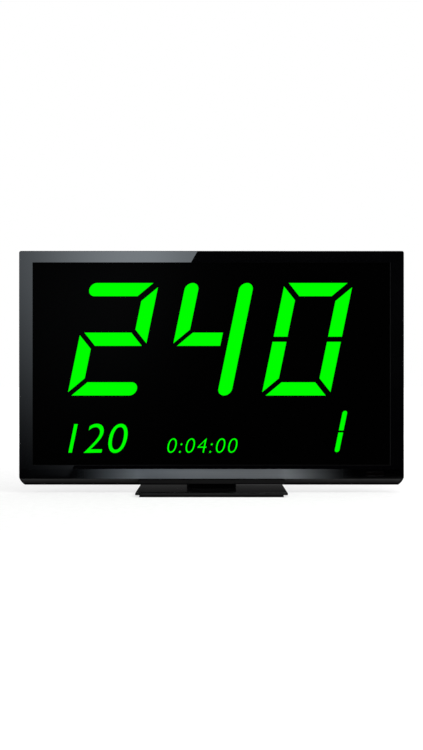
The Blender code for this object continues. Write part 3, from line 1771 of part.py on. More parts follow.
def build_base():
    stand_base_cover()
    stand_base_plate()
    base_feet()
    swivel_glide_ring()
    swivel_stop_pin()
    pivot_fastening()


def build():
    clear_scene()
    build_cabinet()
    build_neck()
    turning = [obj.name for obj in parts.objects]
    hang_on("display_swivel_axis", (0, pivot_y, turntable_z), turning)
    build_base()


build()
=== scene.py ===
"""Archery timer: a flat display on a low pedestal that swivels, lit and showing its count.

The display faces -Y, +X is to its right as the archers see it, and the floor is at Z = 0. Metres.
"""

import json
import math

import bpy
from mathutils import Matrix, Vector

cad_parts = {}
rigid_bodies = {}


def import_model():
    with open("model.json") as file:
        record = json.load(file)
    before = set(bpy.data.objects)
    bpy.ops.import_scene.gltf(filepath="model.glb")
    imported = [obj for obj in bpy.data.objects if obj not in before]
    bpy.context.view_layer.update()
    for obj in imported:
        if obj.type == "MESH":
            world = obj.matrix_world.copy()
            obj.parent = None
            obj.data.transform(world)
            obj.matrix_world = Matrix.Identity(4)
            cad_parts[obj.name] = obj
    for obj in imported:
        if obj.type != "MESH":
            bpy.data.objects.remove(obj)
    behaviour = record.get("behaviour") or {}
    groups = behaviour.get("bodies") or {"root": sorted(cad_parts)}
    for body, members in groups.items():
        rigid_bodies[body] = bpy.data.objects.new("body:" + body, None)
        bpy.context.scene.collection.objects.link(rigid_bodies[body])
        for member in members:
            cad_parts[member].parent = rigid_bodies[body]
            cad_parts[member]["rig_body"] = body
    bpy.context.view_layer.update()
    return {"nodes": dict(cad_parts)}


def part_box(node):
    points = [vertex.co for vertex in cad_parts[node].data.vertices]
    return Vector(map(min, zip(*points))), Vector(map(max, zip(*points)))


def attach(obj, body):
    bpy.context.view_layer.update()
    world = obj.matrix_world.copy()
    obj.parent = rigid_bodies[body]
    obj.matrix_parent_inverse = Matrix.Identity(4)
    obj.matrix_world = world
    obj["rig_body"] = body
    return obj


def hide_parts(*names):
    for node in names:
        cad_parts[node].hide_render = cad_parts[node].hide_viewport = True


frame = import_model()

# Camera. It stands level on the display's middle line, a few steps in front of it, at the height
# of the readout's lower half. The picture is upright, so the lens follows from its height.

picture_height = 750
focal_length_in_pixels = 1162.4
camera_distance = 3.6
camera_height = 0.3651
camera_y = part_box("front_bezel")[0].y - camera_distance

camera = bpy.data.objects.new("camera", bpy.data.cameras.new("camera"))
bpy.context.scene.collection.objects.link(camera)
camera.data.lens = focal_length_in_pixels / picture_height * camera.data.sensor_width
camera.location = (0.0, camera_y, camera_height)
camera.rotation_euler = (math.radians(90), 0.0, 0.0)
bpy.context.scene.camera = camera
bpy.context.scene.view_settings.view_transform = "Standard"

# Studio. A pale floor and a white surround, with a darker end of the room behind the camera, so
# that the gloss front stays black as it does in front of a dark flag.

floor_half_size = 30.0
floor_albedo = 0.33
floor_mottle = 0.02
floor_shown_white = 0.66
lit_floor = (1.0, 4.0)
room_light = 0.55
flag_top = 0.30
flag_level = 0.006
flag_edge = (-0.52, -0.25)
over_flag_grade = (-0.10, 0.06)
over_flag_levels = (0.64, 1.05)
level_behind = 0.045
behind = (-0.2, 0.3)
far_wall_fall = (0.091, 0.104)
floor_in_gloss = 1.9
cabinet_shade = (-0.058, -0.032, 0.030, 0.080)
base_shade = (-0.29, -0.27, -0.165, -0.150)
base_shade_level = 0.25
footprint_half = {"X": 0.2163, "Y": 0.1650}
# The next two paint a contact shadow on the floor under the base.
contact_shadow_edge = (-0.0005, 0.0020)
contact_shadow_level = 0.2
soft_box_aim = Vector((0.0, 0.0, 0.35))
soft_boxes = {
    "overhead_soft_box": ((1.1, -0.9, 3.2), (3.2, 2.2), 60.0),
    "left_soft_box": ((-3.4, -2.2, 2.6), (1.8, 1.8), 25.0),
    "right_soft_box": ((3.4, -2.0, 2.4), (1.8, 1.8), 45.0),
    "rear_soft_box": ((1.2, 3.6, 2.4), (2.4, 1.6), 50.0),
}


def feed(socket, value):
    """Sets a socket to a value, or links it to the socket that feeds it."""
    if isinstance(value, bpy.types.NodeSocket):
        socket.id_data.links.new(value, socket)
    else:
        socket.default_value = value


def feed_all(node, **inputs):
    """Feeds the inputs of a node, whose names take _ for a space."""
    for name, value in inputs.items():
        feed(node.inputs[name.replace("_", " ")], value)


def add_node(beside, kind, settings=None, **inputs):
    """Adds a shader node to the tree of a socket, with its settings and its inputs."""
    node = beside.id_data.nodes.new("ShaderNode" + kind)
    for name, value in (settings or {}).items():
        setattr(node, name, value)
    feed_all(node, **inputs)
    return node


def maths(operation, *values):
    """The result of a sum on one or two values, at least one of which comes from a socket."""
    beside = next(value for value in values if isinstance(value, bpy.types.NodeSocket))
    node = add_node(beside, "Math", {"operation": operation})
    for socket, value in zip(node.inputs, values):
        feed(socket, value)
    return node.outputs["Value"]


def times(*values):
    """The product of two values."""
    return maths("MULTIPLY", *values)


def apart(value, middle):
    """How far a value is from a middle, either way."""
    return maths("ABSOLUTE", maths("SUBTRACT", value, middle))


def between(value, start, end, low=0.0, high=1.0):
    """Eases from low to high while the value goes from start to end."""
    settings = {"interpolation_type": "SMOOTHSTEP"}
    inputs = {"From_Min": start, "From_Max": end, "To_Min": low, "To_Max": high}
    return add_node(value, "MapRange", settings, Value=value, **inputs).outputs["Result"]


def chosen(switch, off, on):
    """One number while a switch is at 0, and the other while it is at 1."""
    node = add_node(switch, "Mix", Factor=switch)
    feed(node.inputs[2], off)
    feed(node.inputs[3], on)
    return node.outputs[0]


def axes(vector):
    """The X, Y and Z of a vector."""
    return add_node(vector, "SeparateXYZ", Vector=vector).outputs


def noise(place, scale, detail):
    """A cloudy pattern with so many clouds to the metre."""
    return add_node(place, "TexNoise", Vector=place, Scale=scale, Detail=detail).outputs["Fac"]


def bare_paint(piece, name):
    """Gives a studio surface a material of which only the coordinates and the output are made."""
    paint = bpy.data.materials.new(name)
    paint.use_nodes = True
    piece.data.materials.append(paint)
    nodes = paint.node_tree.nodes
    nodes.clear()
    place = nodes.new("ShaderNodeTexCoord").outputs["Object"]
    return place, nodes.new("ShaderNodeOutputMaterial").inputs["Surface"]


def shade_across(y, limits, level):
    """Eases from 1 down to a level and up again, between four places in Y."""
    down = between(y, limits[0], limits[1], 1.0, level)
    return maths("MAXIMUM", down, between(y, limits[2], limits[3]))


world = bpy.data.worlds.new("studio")
world.use_nodes = True
bpy.context.scene.world = world
nodes = world.node_tree.nodes
direction = axes(nodes.new("ShaderNodeTexCoord").outputs["Generated"])
far_wall = between(direction["Z"], *far_wall_fall, level_behind, flag_level)
low_level = between(direction["Y"], *behind, flag_level, far_wall)
high_level = between(direction["X"], *over_flag_grade, *over_flag_levels)
in_gloss = between(direction["Z"], flag_top, 2 * flag_top, low_level, high_level)
ray = nodes.new("ShaderNodeLightPath").outputs
level = chosen(ray["Is Glossy Ray"], room_light, in_gloss)
level = maths("MAXIMUM", level, ray["Is Camera Ray"])
feed_all(nodes["Background"], Strength=level, Color=(1.0, 1.0, 1.0, 1.0))

bpy.ops.mesh.primitive_plane_add(size=2 * floor_half_size)
floor = bpy.context.object
floor.name = "studio_floor"
place, surface = bare_paint(floor, "pale_floor")
speckle = noise(place, 40.0, 3.0)
albedo = between(speckle, 0.2, 0.8, floor_albedo - floor_mottle, floor_albedo + floor_mottle)
ray = add_node(place, "LightPath").outputs
at = axes(place)
# Seen in the gloss, the floor's colour is painted: dark near the camera, brighter further out, with painted
# shade in strips under the cabinet and in front of the base.
in_gloss = between(at["Y"], *flag_edge, 0.0, floor_in_gloss)
in_gloss = times(in_gloss, shade_across(at["Y"], cabinet_shade, 0.0))
in_gloss = times(in_gloss, shade_across(at["Y"], base_shade, base_shade_level))
albedo = times(albedo, chosen(ray["Is Glossy Ray"], 1.0, in_gloss))
past_sides = [maths("SUBTRACT", maths("ABSOLUTE", at[axis]), half) for axis, half in footprint_half.items()]
past_base = maths("MAXIMUM", *past_sides)
# A painted contact shadow: the floor's colour darkens under the base.
albedo = times(albedo, between(past_base, *contact_shadow_edge, contact_shadow_level, 1.0))
matte = add_node(place, "BsdfDiffuse", Color=albedo).outputs["BSDF"]
distance = add_node(place, "VectorMath", {"operation": "LENGTH"}, Vector=place).outputs["Value"]
whitening = between(distance, *lit_floor, floor_shown_white, 1.0)
# Under the base the camera's white is taken away too, for the same painted contact shadow.
whitening = times(whitening, between(past_base, *contact_shadow_edge))
glow = add_node(place, "Emission", Strength=times(ray["Is Camera Ray"], whitening))
both = add_node(place, "AddShader")
feed(both.inputs[0], matte)
feed(both.inputs[1], glow.outputs["Emission"])
feed(surface, both.outputs["Shader"])

for name, (spot, (width, height), watts) in soft_boxes.items():
    lamp = bpy.data.lights.new(name, "AREA")
    lamp.shape = "RECTANGLE"
    lamp.size = width
    lamp.size_y = height
    lamp.energy = watts
    holder = bpy.data.objects.new(name, lamp)
    holder.location = spot
    holder.rotation_euler = (soft_box_aim - Vector(spot)).to_track_quat("-Z", "Y").to_euler()
    bpy.context.scene.collection.objects.link(holder)

# Reflection card. A graded white card stands beside the camera and shows only in the gloss: it
# draws the pale sheen with the slanting edge on the left of the front frame.

card_slant_foot = (-0.4798, -0.0100)
card_slant_head = (-0.0421, 0.7510)
card_left = -0.75
card_distance = 0.6
card_outer_fade = (-0.65, -0.225)
card_outer_share = 0.33
card_inner_fade = (-0.21, -0.04)
card_inner_share = 0.72
card_upward_fade = (-0.067, 0.8076)
card_upward_power = 1.42
card_lean = 0.5
card_brightest = 5.2
card_tint = (0.83, 0.92, 1.0, 1.0)
frame_left = -0.58


def card_place(x, z):
    """Where the camera finds the card behind a point of the front face's gloss."""
    spread = card_distance / camera_distance
    card_y = camera_y + camera_distance - card_distance
    return Vector((x * (1 + spread), card_y, z * (1 + spread) - camera_height * spread))


bpy.ops.mesh.primitive_plane_add(size=1.0)
card = bpy.context.object
card.name = "reflection_card"
card_corners = (
    (card_left, card_slant_foot[1]), card_slant_foot, (card_left, card_slant_head[1]), card_slant_head
)
for corner, point in zip(sorted(card.data.vertices, key=lambda v: (v.co.y, v.co.x)), card_corners):
    corner.co = card_place(*point)
for kind in ("camera", "diffuse", "transmission", "shadow", "volume_scatter"):
    setattr(card, "visible_" + kind, False)
place, surface = bare_paint(card, "graded_card")
at = axes(place)
outer = [card_place(x, 0.0).x for x in card_outer_fade]
inner = [card_place(x, 0.0).x for x in card_inner_fade]
from_outside = between(at["X"], *outer, card_outer_share, 1.0)
across = times(from_outside, between(at["X"], *inner, 1.0, card_inner_share))
height = maths("ADD", times(at["X"], card_lean), at["Z"])
limits = [card_place(frame_left, z) for z in card_upward_fade]
upward = between(height, *[card_lean * limit.x + limit.z for limit in limits])
upward = maths("POWER", upward, card_upward_power)
strength = times(times(across, upward), card_brightest)
glow = add_node(place, "Emission", Color=card_tint, Strength=strength)
feed(surface, glow.outputs["Emission"])

# Front frame. It is moulded in piano-black plastic and taken from its tool with a polished face;
# its edges carry a fine round, and hands leave faint marks on it.

opening_edge = 0.5548
opening_foot = 0.0848
opening_head = 0.7142
marks_to_metre = 11.0
blotch_limits = (0.48, 0.72)
streak_limits = (0.45, 0.80)
specks_to_metre = 260.0
speck_limits = (0.40, 0.75)
faces_up = (0.55, 0.95)
dust_colour = (0.30, 0.29, 0.28, 1.0)


def new_group(name, inputs, outputs):
    """A shader node group with its sockets, and its two end nodes."""
    group = bpy.data.node_groups.new(name, "ShaderNodeTree")
    for label, kind in inputs.items():
        group.interface.new_socket(label, in_out="INPUT", socket_type="NodeSocket" + kind)
    for label in outputs:
        group.interface.new_socket(label, in_out="OUTPUT", socket_type="NodeSocketFloat")
    start = group.nodes.new("NodeGroupInput")
    end = group.nodes.new("NodeGroupOutput")
    return group, start.outputs, end.inputs


def mapped(place, **inputs):
    """Coordinates that are scaled or turned."""
    return add_node(place, "Mapping", Vector=place, **inputs).outputs["Vector"]


pattern_inputs = {"Place": "Vector", "Scale": "Float"}
handling_marks, given, made = new_group("handling_marks", pattern_inputs, ["Marks"])
cloud = noise(given["Place"], given["Scale"], 4.0)
wipe_place = mapped(given["Place"], Scale=(1.0, 1.0, 7.0))
wipes = noise(wipe_place, given["Scale"], 6.0)
blotches = between(cloud, *blotch_limits)
streaks = between(wipes, *streak_limits)
feed(made["Marks"], times(blotches, streaks))

settled_dust, given, made = new_group("settled_dust", {"Place": "Vector"}, ["Dust"])
facing = add_node(given["Place"], "NewGeometry").outputs["Normal"]
lying = between(axes(facing)["Z"], *faces_up)
specks = noise(given["Place"], specks_to_metre, 5.0)
specks = between(specks, *speck_limits)
feed(made["Dust"], times(lying, specks))

moulded_grain, given, made = new_group("moulded_grain", pattern_inputs, ["Height", "Mottle"])
pits = add_node(
    given["Place"], "TexVoronoi", {"feature": "SMOOTH_F1"}, Vector=given["Place"], Scale=given["Scale"]
)
fine = noise(given["Place"], given["Scale"], 3.0)
feed(made["Height"], maths("ADD", pits.outputs["Distance"], fine))
feed(made["Mottle"], noise(given["Place"], 9.0, 4.0))


def use_group(group, place, **inputs):
    """Places a shader node group in a material."""
    return add_node(place, "Group", {"node_tree": group}, Place=place, **inputs).outputs


def new_finish(name):
    """A material, its shader and the piece's own coordinates."""
    finish = bpy.data.materials.new(name)
    finish.use_nodes = True
    nodes = finish.node_tree.nodes
    return finish, nodes["Principled BSDF"], nodes.new("ShaderNodeTexCoord").outputs["Object"]


def linear(red, green, blue):
    """A colour given as it shows on a screen, 0 to 255, as the light that it sends back."""
    light = [((c / 255 + 0.055) / 1.055) ** 2.4 if c > 10 else c / 255 / 12.92 for c in (red, green, blue)]
    return (*light, 1.0)


def mixed(share, first, second):
    """A colour between two others."""
    node = add_node(share, "Mix", {"data_type": "RGBA"}, Factor=share)
    feed(node.inputs[6], first)
    feed(node.inputs[7], second)
    return node.outputs[2]


def relief(height, strength, depth):
    """The normal of a surface that follows a height, with its depth in metres."""
    return add_node(height, "Bump", Strength=strength, Distance=depth, Height=height).outputs["Normal"]


def plastic(name, colour, roughness, grain=(900.0, 0.0), marks=0.05, dust=0.25):
    """Moulded plastic: grain is its scale and depth in millimetres; marks roughen it."""
    finish, shader, place = new_finish(name)
    scale, depth = grain
    texture = use_group(moulded_grain, place, Scale=scale)
    touched = use_group(handling_marks, place, Scale=marks_to_metre)["Marks"]
    dusty = times(use_group(settled_dust, place)["Dust"], dust)
    pale = tuple(min(1.0, 1.35 * c + 0.0008) for c in colour[:3]) + (1.0,)
    body = mixed(texture["Mottle"], colour, pale)
    rough = maths("ADD", times(touched, marks), roughness)
    rough = maths("ADD", rough, times(dusty, 0.5))
    feed_all(shader, Base_Color=mixed(dusty, body, dust_colour), Roughness=rough)
    if depth:
        feed_all(shader, Normal=relief(texture["Height"], 0.6, depth / 1000))
    return finish


def deselect_all():
    bpy.ops.object.select_all(action="DESELECT")


def take_up(piece):
    """Makes a piece the only one selected, and the one that is worked on."""
    deselect_all()
    piece.select_set(True)
    bpy.context.view_layer.objects.active = piece


def edit_all():
    """Goes into edit mode with everything selected."""
    bpy.ops.object.mode_set(mode="EDIT")
    bpy.ops.mesh.select_all(action="SELECT")


def leave_edit():
    bpy.ops.object.mode_set(mode="OBJECT")


def dressed_copy(name, node, finish, edge_round=0.0002, smooth_to=35.0):
    """A copy of a construction solid with fine rounded edges, which takes its place."""
    piece = bpy.data.objects.new(name, frame["nodes"][node].data.copy())
    bpy.context.scene.collection.objects.link(piece)
    take_up(piece)
    edit_all()
    bpy.ops.mesh.remove_doubles(threshold=0.000005)
    bpy.ops.mesh.dissolve_limited(angle_limit=math.radians(0.4))
    bpy.ops.mesh.normals_make_consistent(inside=False)
    leave_edit()
    rounding = piece.modifiers.new("edge_round", "BEVEL")
    rounding.width = edge_round
    rounding.segments = 2
    rounding.limit_method = "ANGLE"
    rounding.angle_limit = math.radians(smooth_to)
    bpy.ops.object.modifier_apply(modifier="edge_round")
    bpy.ops.object.shade_smooth_by_angle(angle=math.radians(smooth_to))
    flats = piece.modifiers.new("flat_faces_stay_flat", "WEIGHTED_NORMAL")
    flats.keep_sharp = True
    flats.weight = 100
    bpy.ops.object.modifier_apply(modifier="flat_faces_stay_flat")
    piece.data.materials.clear()
    piece.data.materials.append(finish)
    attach(piece, frame["nodes"][node]["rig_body"])
    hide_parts(node)
    return piece


piano_black = plastic("piano_black", linear(2, 2, 3), 0.012, marks=0.03, dust=0.02)
matt_edge = plastic("matt_inner_edge", linear(2, 2, 2), 0.75, marks=0.02, dust=0.0)
# The right inner wall of the screen opening faces left. It takes a paler colour than the other inner walls:
# a painted highlight along that edge.
inner_edge_highlight = plastic("inner_edge_painted_highlight", linear(12, 12, 13), 0.7, marks=0.02, dust=0.0)
moulding = dressed_copy("front_frame_moulding", "front_bezel", piano_black, 0.0003)
for edge_finish, sheen in ((matt_edge, 0.05), (inner_edge_highlight, 0.2)):
    feed_all(edge_finish.node_tree.nodes["Principled BSDF"], Specular_IOR_Level=sheen)
    moulding.data.materials.append(edge_finish)
# Inner walls of the opening that face left take the painted highlight. The others are matt.
for face in moulding.data.polygons:
    corners = [moulding.data.vertices[i].co for i in face.vertices]
    inside = all(abs(c.x) < opening_edge and opening_foot < c.z < opening_head for c in corners)
    if inside and abs(face.normal.y) < 0.9:
        face.material_index = 2 if face.normal.x < -0.5 else 1

# Trim strip. It is a rolled aluminium strip, brushed along its length and anodised dark, under a clear
# lacquer. Its colour carries a painted sheen: lightest right of the middle, fading to black at both ends.

# Where the painted highlight on the strip is full, and where it has faded to black.
strip_bright_to = 0.228
strip_dark_from = 0.447
strip_fall_power = 2.2
strip_sheen_colour = linear(155, 160, 165)
strip_end_colour = linear(1, 1, 2)
strip_hairs = (3.0, 900.0, 900.0)
hair_contrast = 0.18
# A painted shade grade: the strip's colour is darker left of the middle than right of it.
strip_sheen_side_grade = (-0.24, -0.02)
strip_sheen_side_levels = (0.78, 1.40)

hairline, shader, place = new_finish("hairline_aluminium")
along = axes(place)["X"]
# The colour stands in for the light: a painted highlight fills the middle and fades to black at both ends.
strip_sheen_fade = add_node(
    place, "MapRange", Value=maths("ABSOLUTE", along), From_Min=strip_dark_from, From_Max=strip_bright_to
)
# clear is the share of that painted highlight along the strip.
clear = maths("POWER", strip_sheen_fade.outputs["Result"], strip_fall_power)
hairs = noise(mapped(place, Scale=strip_hairs), 1.0, 4.0)
dim, pale = [tuple(share * c for c in strip_sheen_colour) for share in (1 - hair_contrast, 1 + hair_contrast)]
# Painted shade: the highlight colour is scaled down on the left side of the strip.
bright = add_node(
    place, "VectorMath", {"operation": "SCALE"},
    Vector=mixed(hairs, dim, pale), Scale=between(along, *strip_sheen_side_grade, *strip_sheen_side_levels)
)
feed_all(
    shader,
    Base_Color=mixed(clear, strip_end_colour, bright.outputs["Vector"]),
    Roughness=between(hairs, 0.3, 0.7, 0.34, 0.42),
    Metallic=1.0,
    Anisotropic=0.7,
    Coat_Weight=0.85,
    Coat_Roughness=0.08,
    Tangent=add_node(place, "Tangent", {"direction_type": "RADIAL", "axis": "X"}).outputs["Tangent"],
    Normal=relief(hairs, 0.25, 0.00005),
)
dressed_copy("trim_strip_extrusion", "trim_strip", hairline)

# Screen. The cell is glass under a film that scatters what falls on it, so it stays deep black
# wherever the picture is off.

screen_black, shader, place = new_finish("screen_black")
sparkle = noise(place, 2500.0, 1.0)
feed_all(
    shader,
    Base_Color=mixed(noise(place, 3.0, 2.0), linear(0, 0, 0), linear(1, 1, 1)),
    Roughness=between(sparkle, 0.2, 0.8, 0.38, 0.48),
    Specular_IOR_Level=0.01,
)


def paint_nodes(finish, *nodes):
    """Gives construction solids that stay their finish."""
    for node in nodes:
        mesh = frame["nodes"][node].data
        mesh.materials.clear()
        mesh.materials.append(finish)


paint_nodes(screen_black, "lcd_panel")

# Readout. The lit picture on the cell: three large slanted seven-bar digits, a small one, and two
# lines of plain numbers. Each bar lies on the face of the cell as a film.

digit_size = (0.2115, 0.3488)
digit_places = (-0.3050, -0.0098, 0.2968)
readout_middle_z = 0.4759
bar_height = 0.0410
post_width = 0.0428
slant = 0.2065
film = 0.0002
mitre_setback = {"bar": 0.0126, "post": 0.0106}
wide_mitre_setback = {"bar": 0.0168, "post": 0.0131}
waist_tip = 0.0127
waist_gap = 0.0080
short_bar_stop = 0.0648
end_steps = 10
cell_face_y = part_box("lcd_panel")[0].y

lit_green, shader, place = new_finish("lit_green")
uneven = noise(place, 6.0, 1.0)
feed_all(
    shader,
    Base_Color=mixed(uneven, (0.0, 0.004, 0.0, 1.0), (0.0, 0.006, 0.0, 1.0)),
    Emission_Color=mixed(uneven, (0.0, 0.97, 0.0, 1.0), (0.0, 1.0, 0.0, 1.0)),
    Emission_Strength=1.0,
    Roughness=0.6,
    Specular_IOR_Level=0.0,
)


def pick_edges(piece, wanted):
    """Goes into edit mode with only the edges selected whose two ends pass a test."""
    bpy.context.tool_settings.mesh_select_mode = (False, True, False)
    mesh = piece.data
    mesh.vertices.foreach_set("select", [False] * len(mesh.vertices))
    mesh.polygons.foreach_set("select", [False] * len(mesh.polygons))
    for edge in mesh.edges:
        first, second = (mesh.vertices[i].co for i in edge.vertices)
        edge.select = wanted(first, second)
    bpy.ops.object.mode_set(mode="EDIT")


def block(name, size, middle=(0.0, 0.0, 0.0)):
    """A block that a piece is cut from, with its size and place in its mesh."""
    deselect_all()
    bpy.ops.mesh.primitive_cube_add(size=1.0, location=middle)
    piece = bpy.context.object
    piece.name = name
    piece.scale = size
    bpy.ops.object.transform_apply(location=True, rotation=False, scale=True)
    return piece


def lit_film(name, low, high, cuts=(), round_ends=()):
    """One upright bar of a digit: a thin film cut at its mitres and rounded at its free ends.

    A cut is a point and the direction that goes, in X and Z; a round end is a direction.
    """
    (left, bottom), (right, top) = low, high
    middle = ((left + right) / 2, 0.0, (bottom + top) / 2)
    piece = block(name, (right - left, film, top - bottom), middle)
    for x_way, z_way in round_ends:
        way = Vector((x_way, 0.0, z_way))
        end = max(way.dot(vert.co) for vert in piece.data.vertices) - film
        pick_edges(piece, lambda a, b: abs(a.y - b.y) > film / 2 and way.dot(a) > end)
        radius = 0.499 * ((top - bottom) if x_way else (right - left))
        bpy.ops.mesh.bevel(offset=radius, segments=end_steps, affect="EDGES")
        leave_edit()
    bpy.ops.object.mode_set(mode="EDIT")
    for (x, z), (x_way, z_way) in cuts:
        bpy.ops.mesh.select_all(action="SELECT")
        bpy.ops.mesh.bisect(
            plane_co=(x, 0.0, z), plane_no=(x_way, 0.0, z_way), use_fill=True, clear_outer=True
        )
    leave_edit()
    return piece


def lay_on_cell(piece, x, z, leans=slant):
    """Slants a film about its middle height and lays it on the cell."""
    for vert in piece.data.vertices:
        vert.co.x += leans * vert.co.z
    piece.data.transform(Matrix.Translation((x, cell_face_y - film / 2, z)))
    piece.data.materials.append(lit_green)
    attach(piece, "display")


half_width, half_height = digit_size[0] / 2, digit_size[1] / 2
half_bar = bar_height / 2


def mitre(kind, x_way, z_way, setback=mitre_setback):
    """The cut of a bar or a post at a corner of the digit."""
    if kind == "bar":
        return ((x_way * (half_width - setback[kind]), z_way * half_height), (x_way, -z_way))
    return ((x_way * half_width, z_way * (half_height - setback[kind])), (-x_way, z_way))


def bar(name, level, cuts, round_ends=(), right=half_width):
    """A level bar of a digit: level is 1 at the top, 0 at the waist and -1 at the foot."""
    middle_z = level * (half_height - half_bar)
    low = (-half_width, middle_z - half_bar)
    return lit_film(name, low, (right, middle_z + half_bar), cuts, round_ends)


def post(name, side, cuts, round_ends=(), bottom=-half_height, top=half_height):
    """An upright bar of a digit on its left (-1) or its right (1) side."""
    edges = sorted((side * half_width, side * (half_width - post_width)))
    return lit_film(name, (edges[0], bottom), (edges[1], top), cuts, round_ends)


tip_in = mitre_setback["bar"]
two = [
    bar("two_top_bar", 1, [mitre("bar", 1, 1, wide_mitre_setback)], [(-1, 0)]),
    post("two_upper_post", 1, [
        mitre("post", 1, 1, wide_mitre_setback), ((half_width, -waist_tip), (-1, -1))]),
    bar("two_waist_bar", 0, [
        ((-half_width + tip_in, half_bar), (-1, -1)), ((half_width - tip_in, -half_bar), (1, 1))]),
    post("two_lower_post", -1, [
        mitre("post", -1, -1), ((-half_width, waist_tip), (1, 1))]),
    bar("two_foot_bar", -1, [mitre("bar", -1, -1)], [(1, 0)]),
]
four = [
    post("four_upper_post", -1, [
        ((-half_width, -waist_tip), (1, -1))], [(0, 1)]),
    bar("four_waist_bar", 0, [((-half_width + tip_in, -half_bar), (-1, 1))],
        right=half_width - short_bar_stop),
    post("four_long_post", 1, [], [(0, 1), (0, -1)]),
]
nought = [
    bar("nought_top_bar", 1, [mitre("bar", -1, 1), mitre("bar", 1, 1, wide_mitre_setback)]),
    bar("nought_foot_bar", -1, [mitre("bar", -1, -1), mitre("bar", 1, -1)]),
    post("nought_upper_left_post", -1, [mitre("post", -1, 1)], bottom=waist_gap),
    post("nought_upper_right_post", 1, [mitre("post", 1, 1, wide_mitre_setback)], bottom=waist_gap),
    post("nought_lower_left_post", -1, [mitre("post", -1, -1)], top=-waist_gap),
    post("nought_lower_right_post", 1, [mitre("post", 1, -1)], top=-waist_gap),
]
for digit, digit_x in zip((two, four, nought), digit_places):
    for piece in digit:
        lay_on_cell(piece, digit_x, readout_middle_z)

small_one_place = (0.4013, 0.1901)
small_one_height = 0.1280
small_one_width = 0.0145
small_one_gap = 0.0063
for name, way in (("small_one_upper", 1), ("small_one_lower", -1)):
    ends = sorted((way * small_one_gap / 2, way * small_one_height / 2))
    low, high = (-small_one_width / 2, ends[0]), (small_one_width / 2, ends[1])
    lay_on_cell(lit_film(name, low, high, round_ends=[(0, way)]), *small_one_place)


def lit_numbers(name, text, left, bottom, height, weight, spacing):
    """A line of plain slanted numbers on the cell, from its lower left corner."""
    deselect_all()
    bpy.ops.object.text_add()
    piece = bpy.context.object
    piece.name = name
    piece.data.body = text
    piece.data.shear = slant
    piece.data.offset = weight
    piece.data.space_character = spacing
    piece.data.extrude = film / 2
    piece.data.resolution_u = 8
    bpy.ops.object.convert(target="MESH")
    take_up(piece)
    edit_all()
    bpy.ops.mesh.remove_doubles(threshold=0.0001)
    bpy.ops.mesh.normals_make_consistent(inside=False)
    leave_edit()
    corners = [vert.co for vert in piece.data.vertices]
    low = Vector([min(c[i] for c in corners) for i in range(3)])
    high = Vector([max(c[i] for c in corners) for i in range(3)])
    share = height / (high.y - low.y)
    for vert in piece.data.vertices:
        x, y, z = vert.co
        vert.co = (left + share * (x - low.x), -z, bottom + share * (y - low.y))
    lay_on_cell(piece, 0.0, 0.0, leans=0.0)


lit_numbers("group_numbers", "120", left=-0.4437, bottom=0.1233, height=0.0908, weight=-0.008, spacing=1.05)
lit_numbers(
    "clock_numbers", "0:04:00", left=-0.1368, bottom=0.1240, height=0.0449, weight=-0.016, spacing=1.12
)

# Sensor window. A smoked acrylic window is pressed into the end of the strip; the receiver of the
# remote control and the standby lamp look out through it.

smoked = plastic("smoked_acrylic", linear(2, 1, 1), 0.015, marks=0.02, dust=0.0)
dressed_copy("receiver_window", "sensor_window", smoked)

# Circuit boards. Glass-fibre laminate under a green lacquer, with copper tracks, tinned pads and
# black moulded chips; each stands on metal posts or clips behind the piece that it serves.

board_face_y = -0.0092
board_back_y = -0.0076
board_step = 0.0002
board_green = linear(18, 74, 44)
track_green = linear(34, 108, 62)
tin = linear(190, 192, 186)
chip_black = linear(22, 22, 24)


def board_laminate(name, tracks_to_metre, stands_on_posts):
    """A green board whose tracks and pads lie in its own plane, X and Z."""
    finish, shader, place = new_finish(name)
    plane = mapped(place, Rotation=(math.radians(90), 0.0, 0.0))
    tracks = add_node(
        place, "TexBrick", {"offset": 0.35}, Vector=plane, Scale=tracks_to_metre, Mortar_Size=0.05
    ).outputs["Fac"]
    cells = add_node(
        place, "TexVoronoi", {"voronoi_dimensions": "2D"}, Vector=plane, Scale=2 * tracks_to_metre
    ).outputs["Distance"]
    pads = between(cells, 0.14, 0.20, 1.0, 0.0)
    colour = mixed(pads, mixed(tracks, board_green, track_green), tin)
    metal = pads
    if stands_on_posts:
        depth = axes(place)["Y"]
        chips = between(depth, board_back_y, board_back_y + board_step)
        posts = between(depth, board_face_y - board_step, board_face_y, 1.0, 0.0)
        colour = mixed(posts, mixed(chips, colour, chip_black), tin)
        metal = maths("MAXIMUM", maths("SUBTRACT", pads, chips), posts)
    feed_all(
        shader,
        Base_Color=colour,
        Metallic=metal,
        Roughness=between(cells, 0.0, 0.6, 0.28, 0.45),
        Normal=relief(tracks, 0.4, 0.00004),
    )
    return finish


fine_board = board_laminate("fine_circuit_board", 260.0, False)
main_board = board_laminate("main_circuit_board", 130.0, True)
paint_nodes(fine_board, "sensor_board", "key_board")
paint_nodes(main_board, "timer_control_board", "power_supply_board", "panel_timing_board")

# Sheets behind the cell. White films spread the light of a clear acrylic plate, whose back is
# printed with even dots; a white sheet under it throws the light forward.

film_white = linear(222, 224, 226)
dots_to_metre = 420.0

film_finish, shader, place = new_finish("light_spreading_film")
haze = noise(place, 1800.0, 2.0)
feed_all(
    shader,
    Base_Color=mixed(haze, film_white, (0.80, 0.81, 0.83, 1.0)),
    Roughness=between(haze, 0.2, 0.8, 0.45, 0.65),
)
paint_nodes(film_finish, "diffuser_sheets", "reflector_sheet")

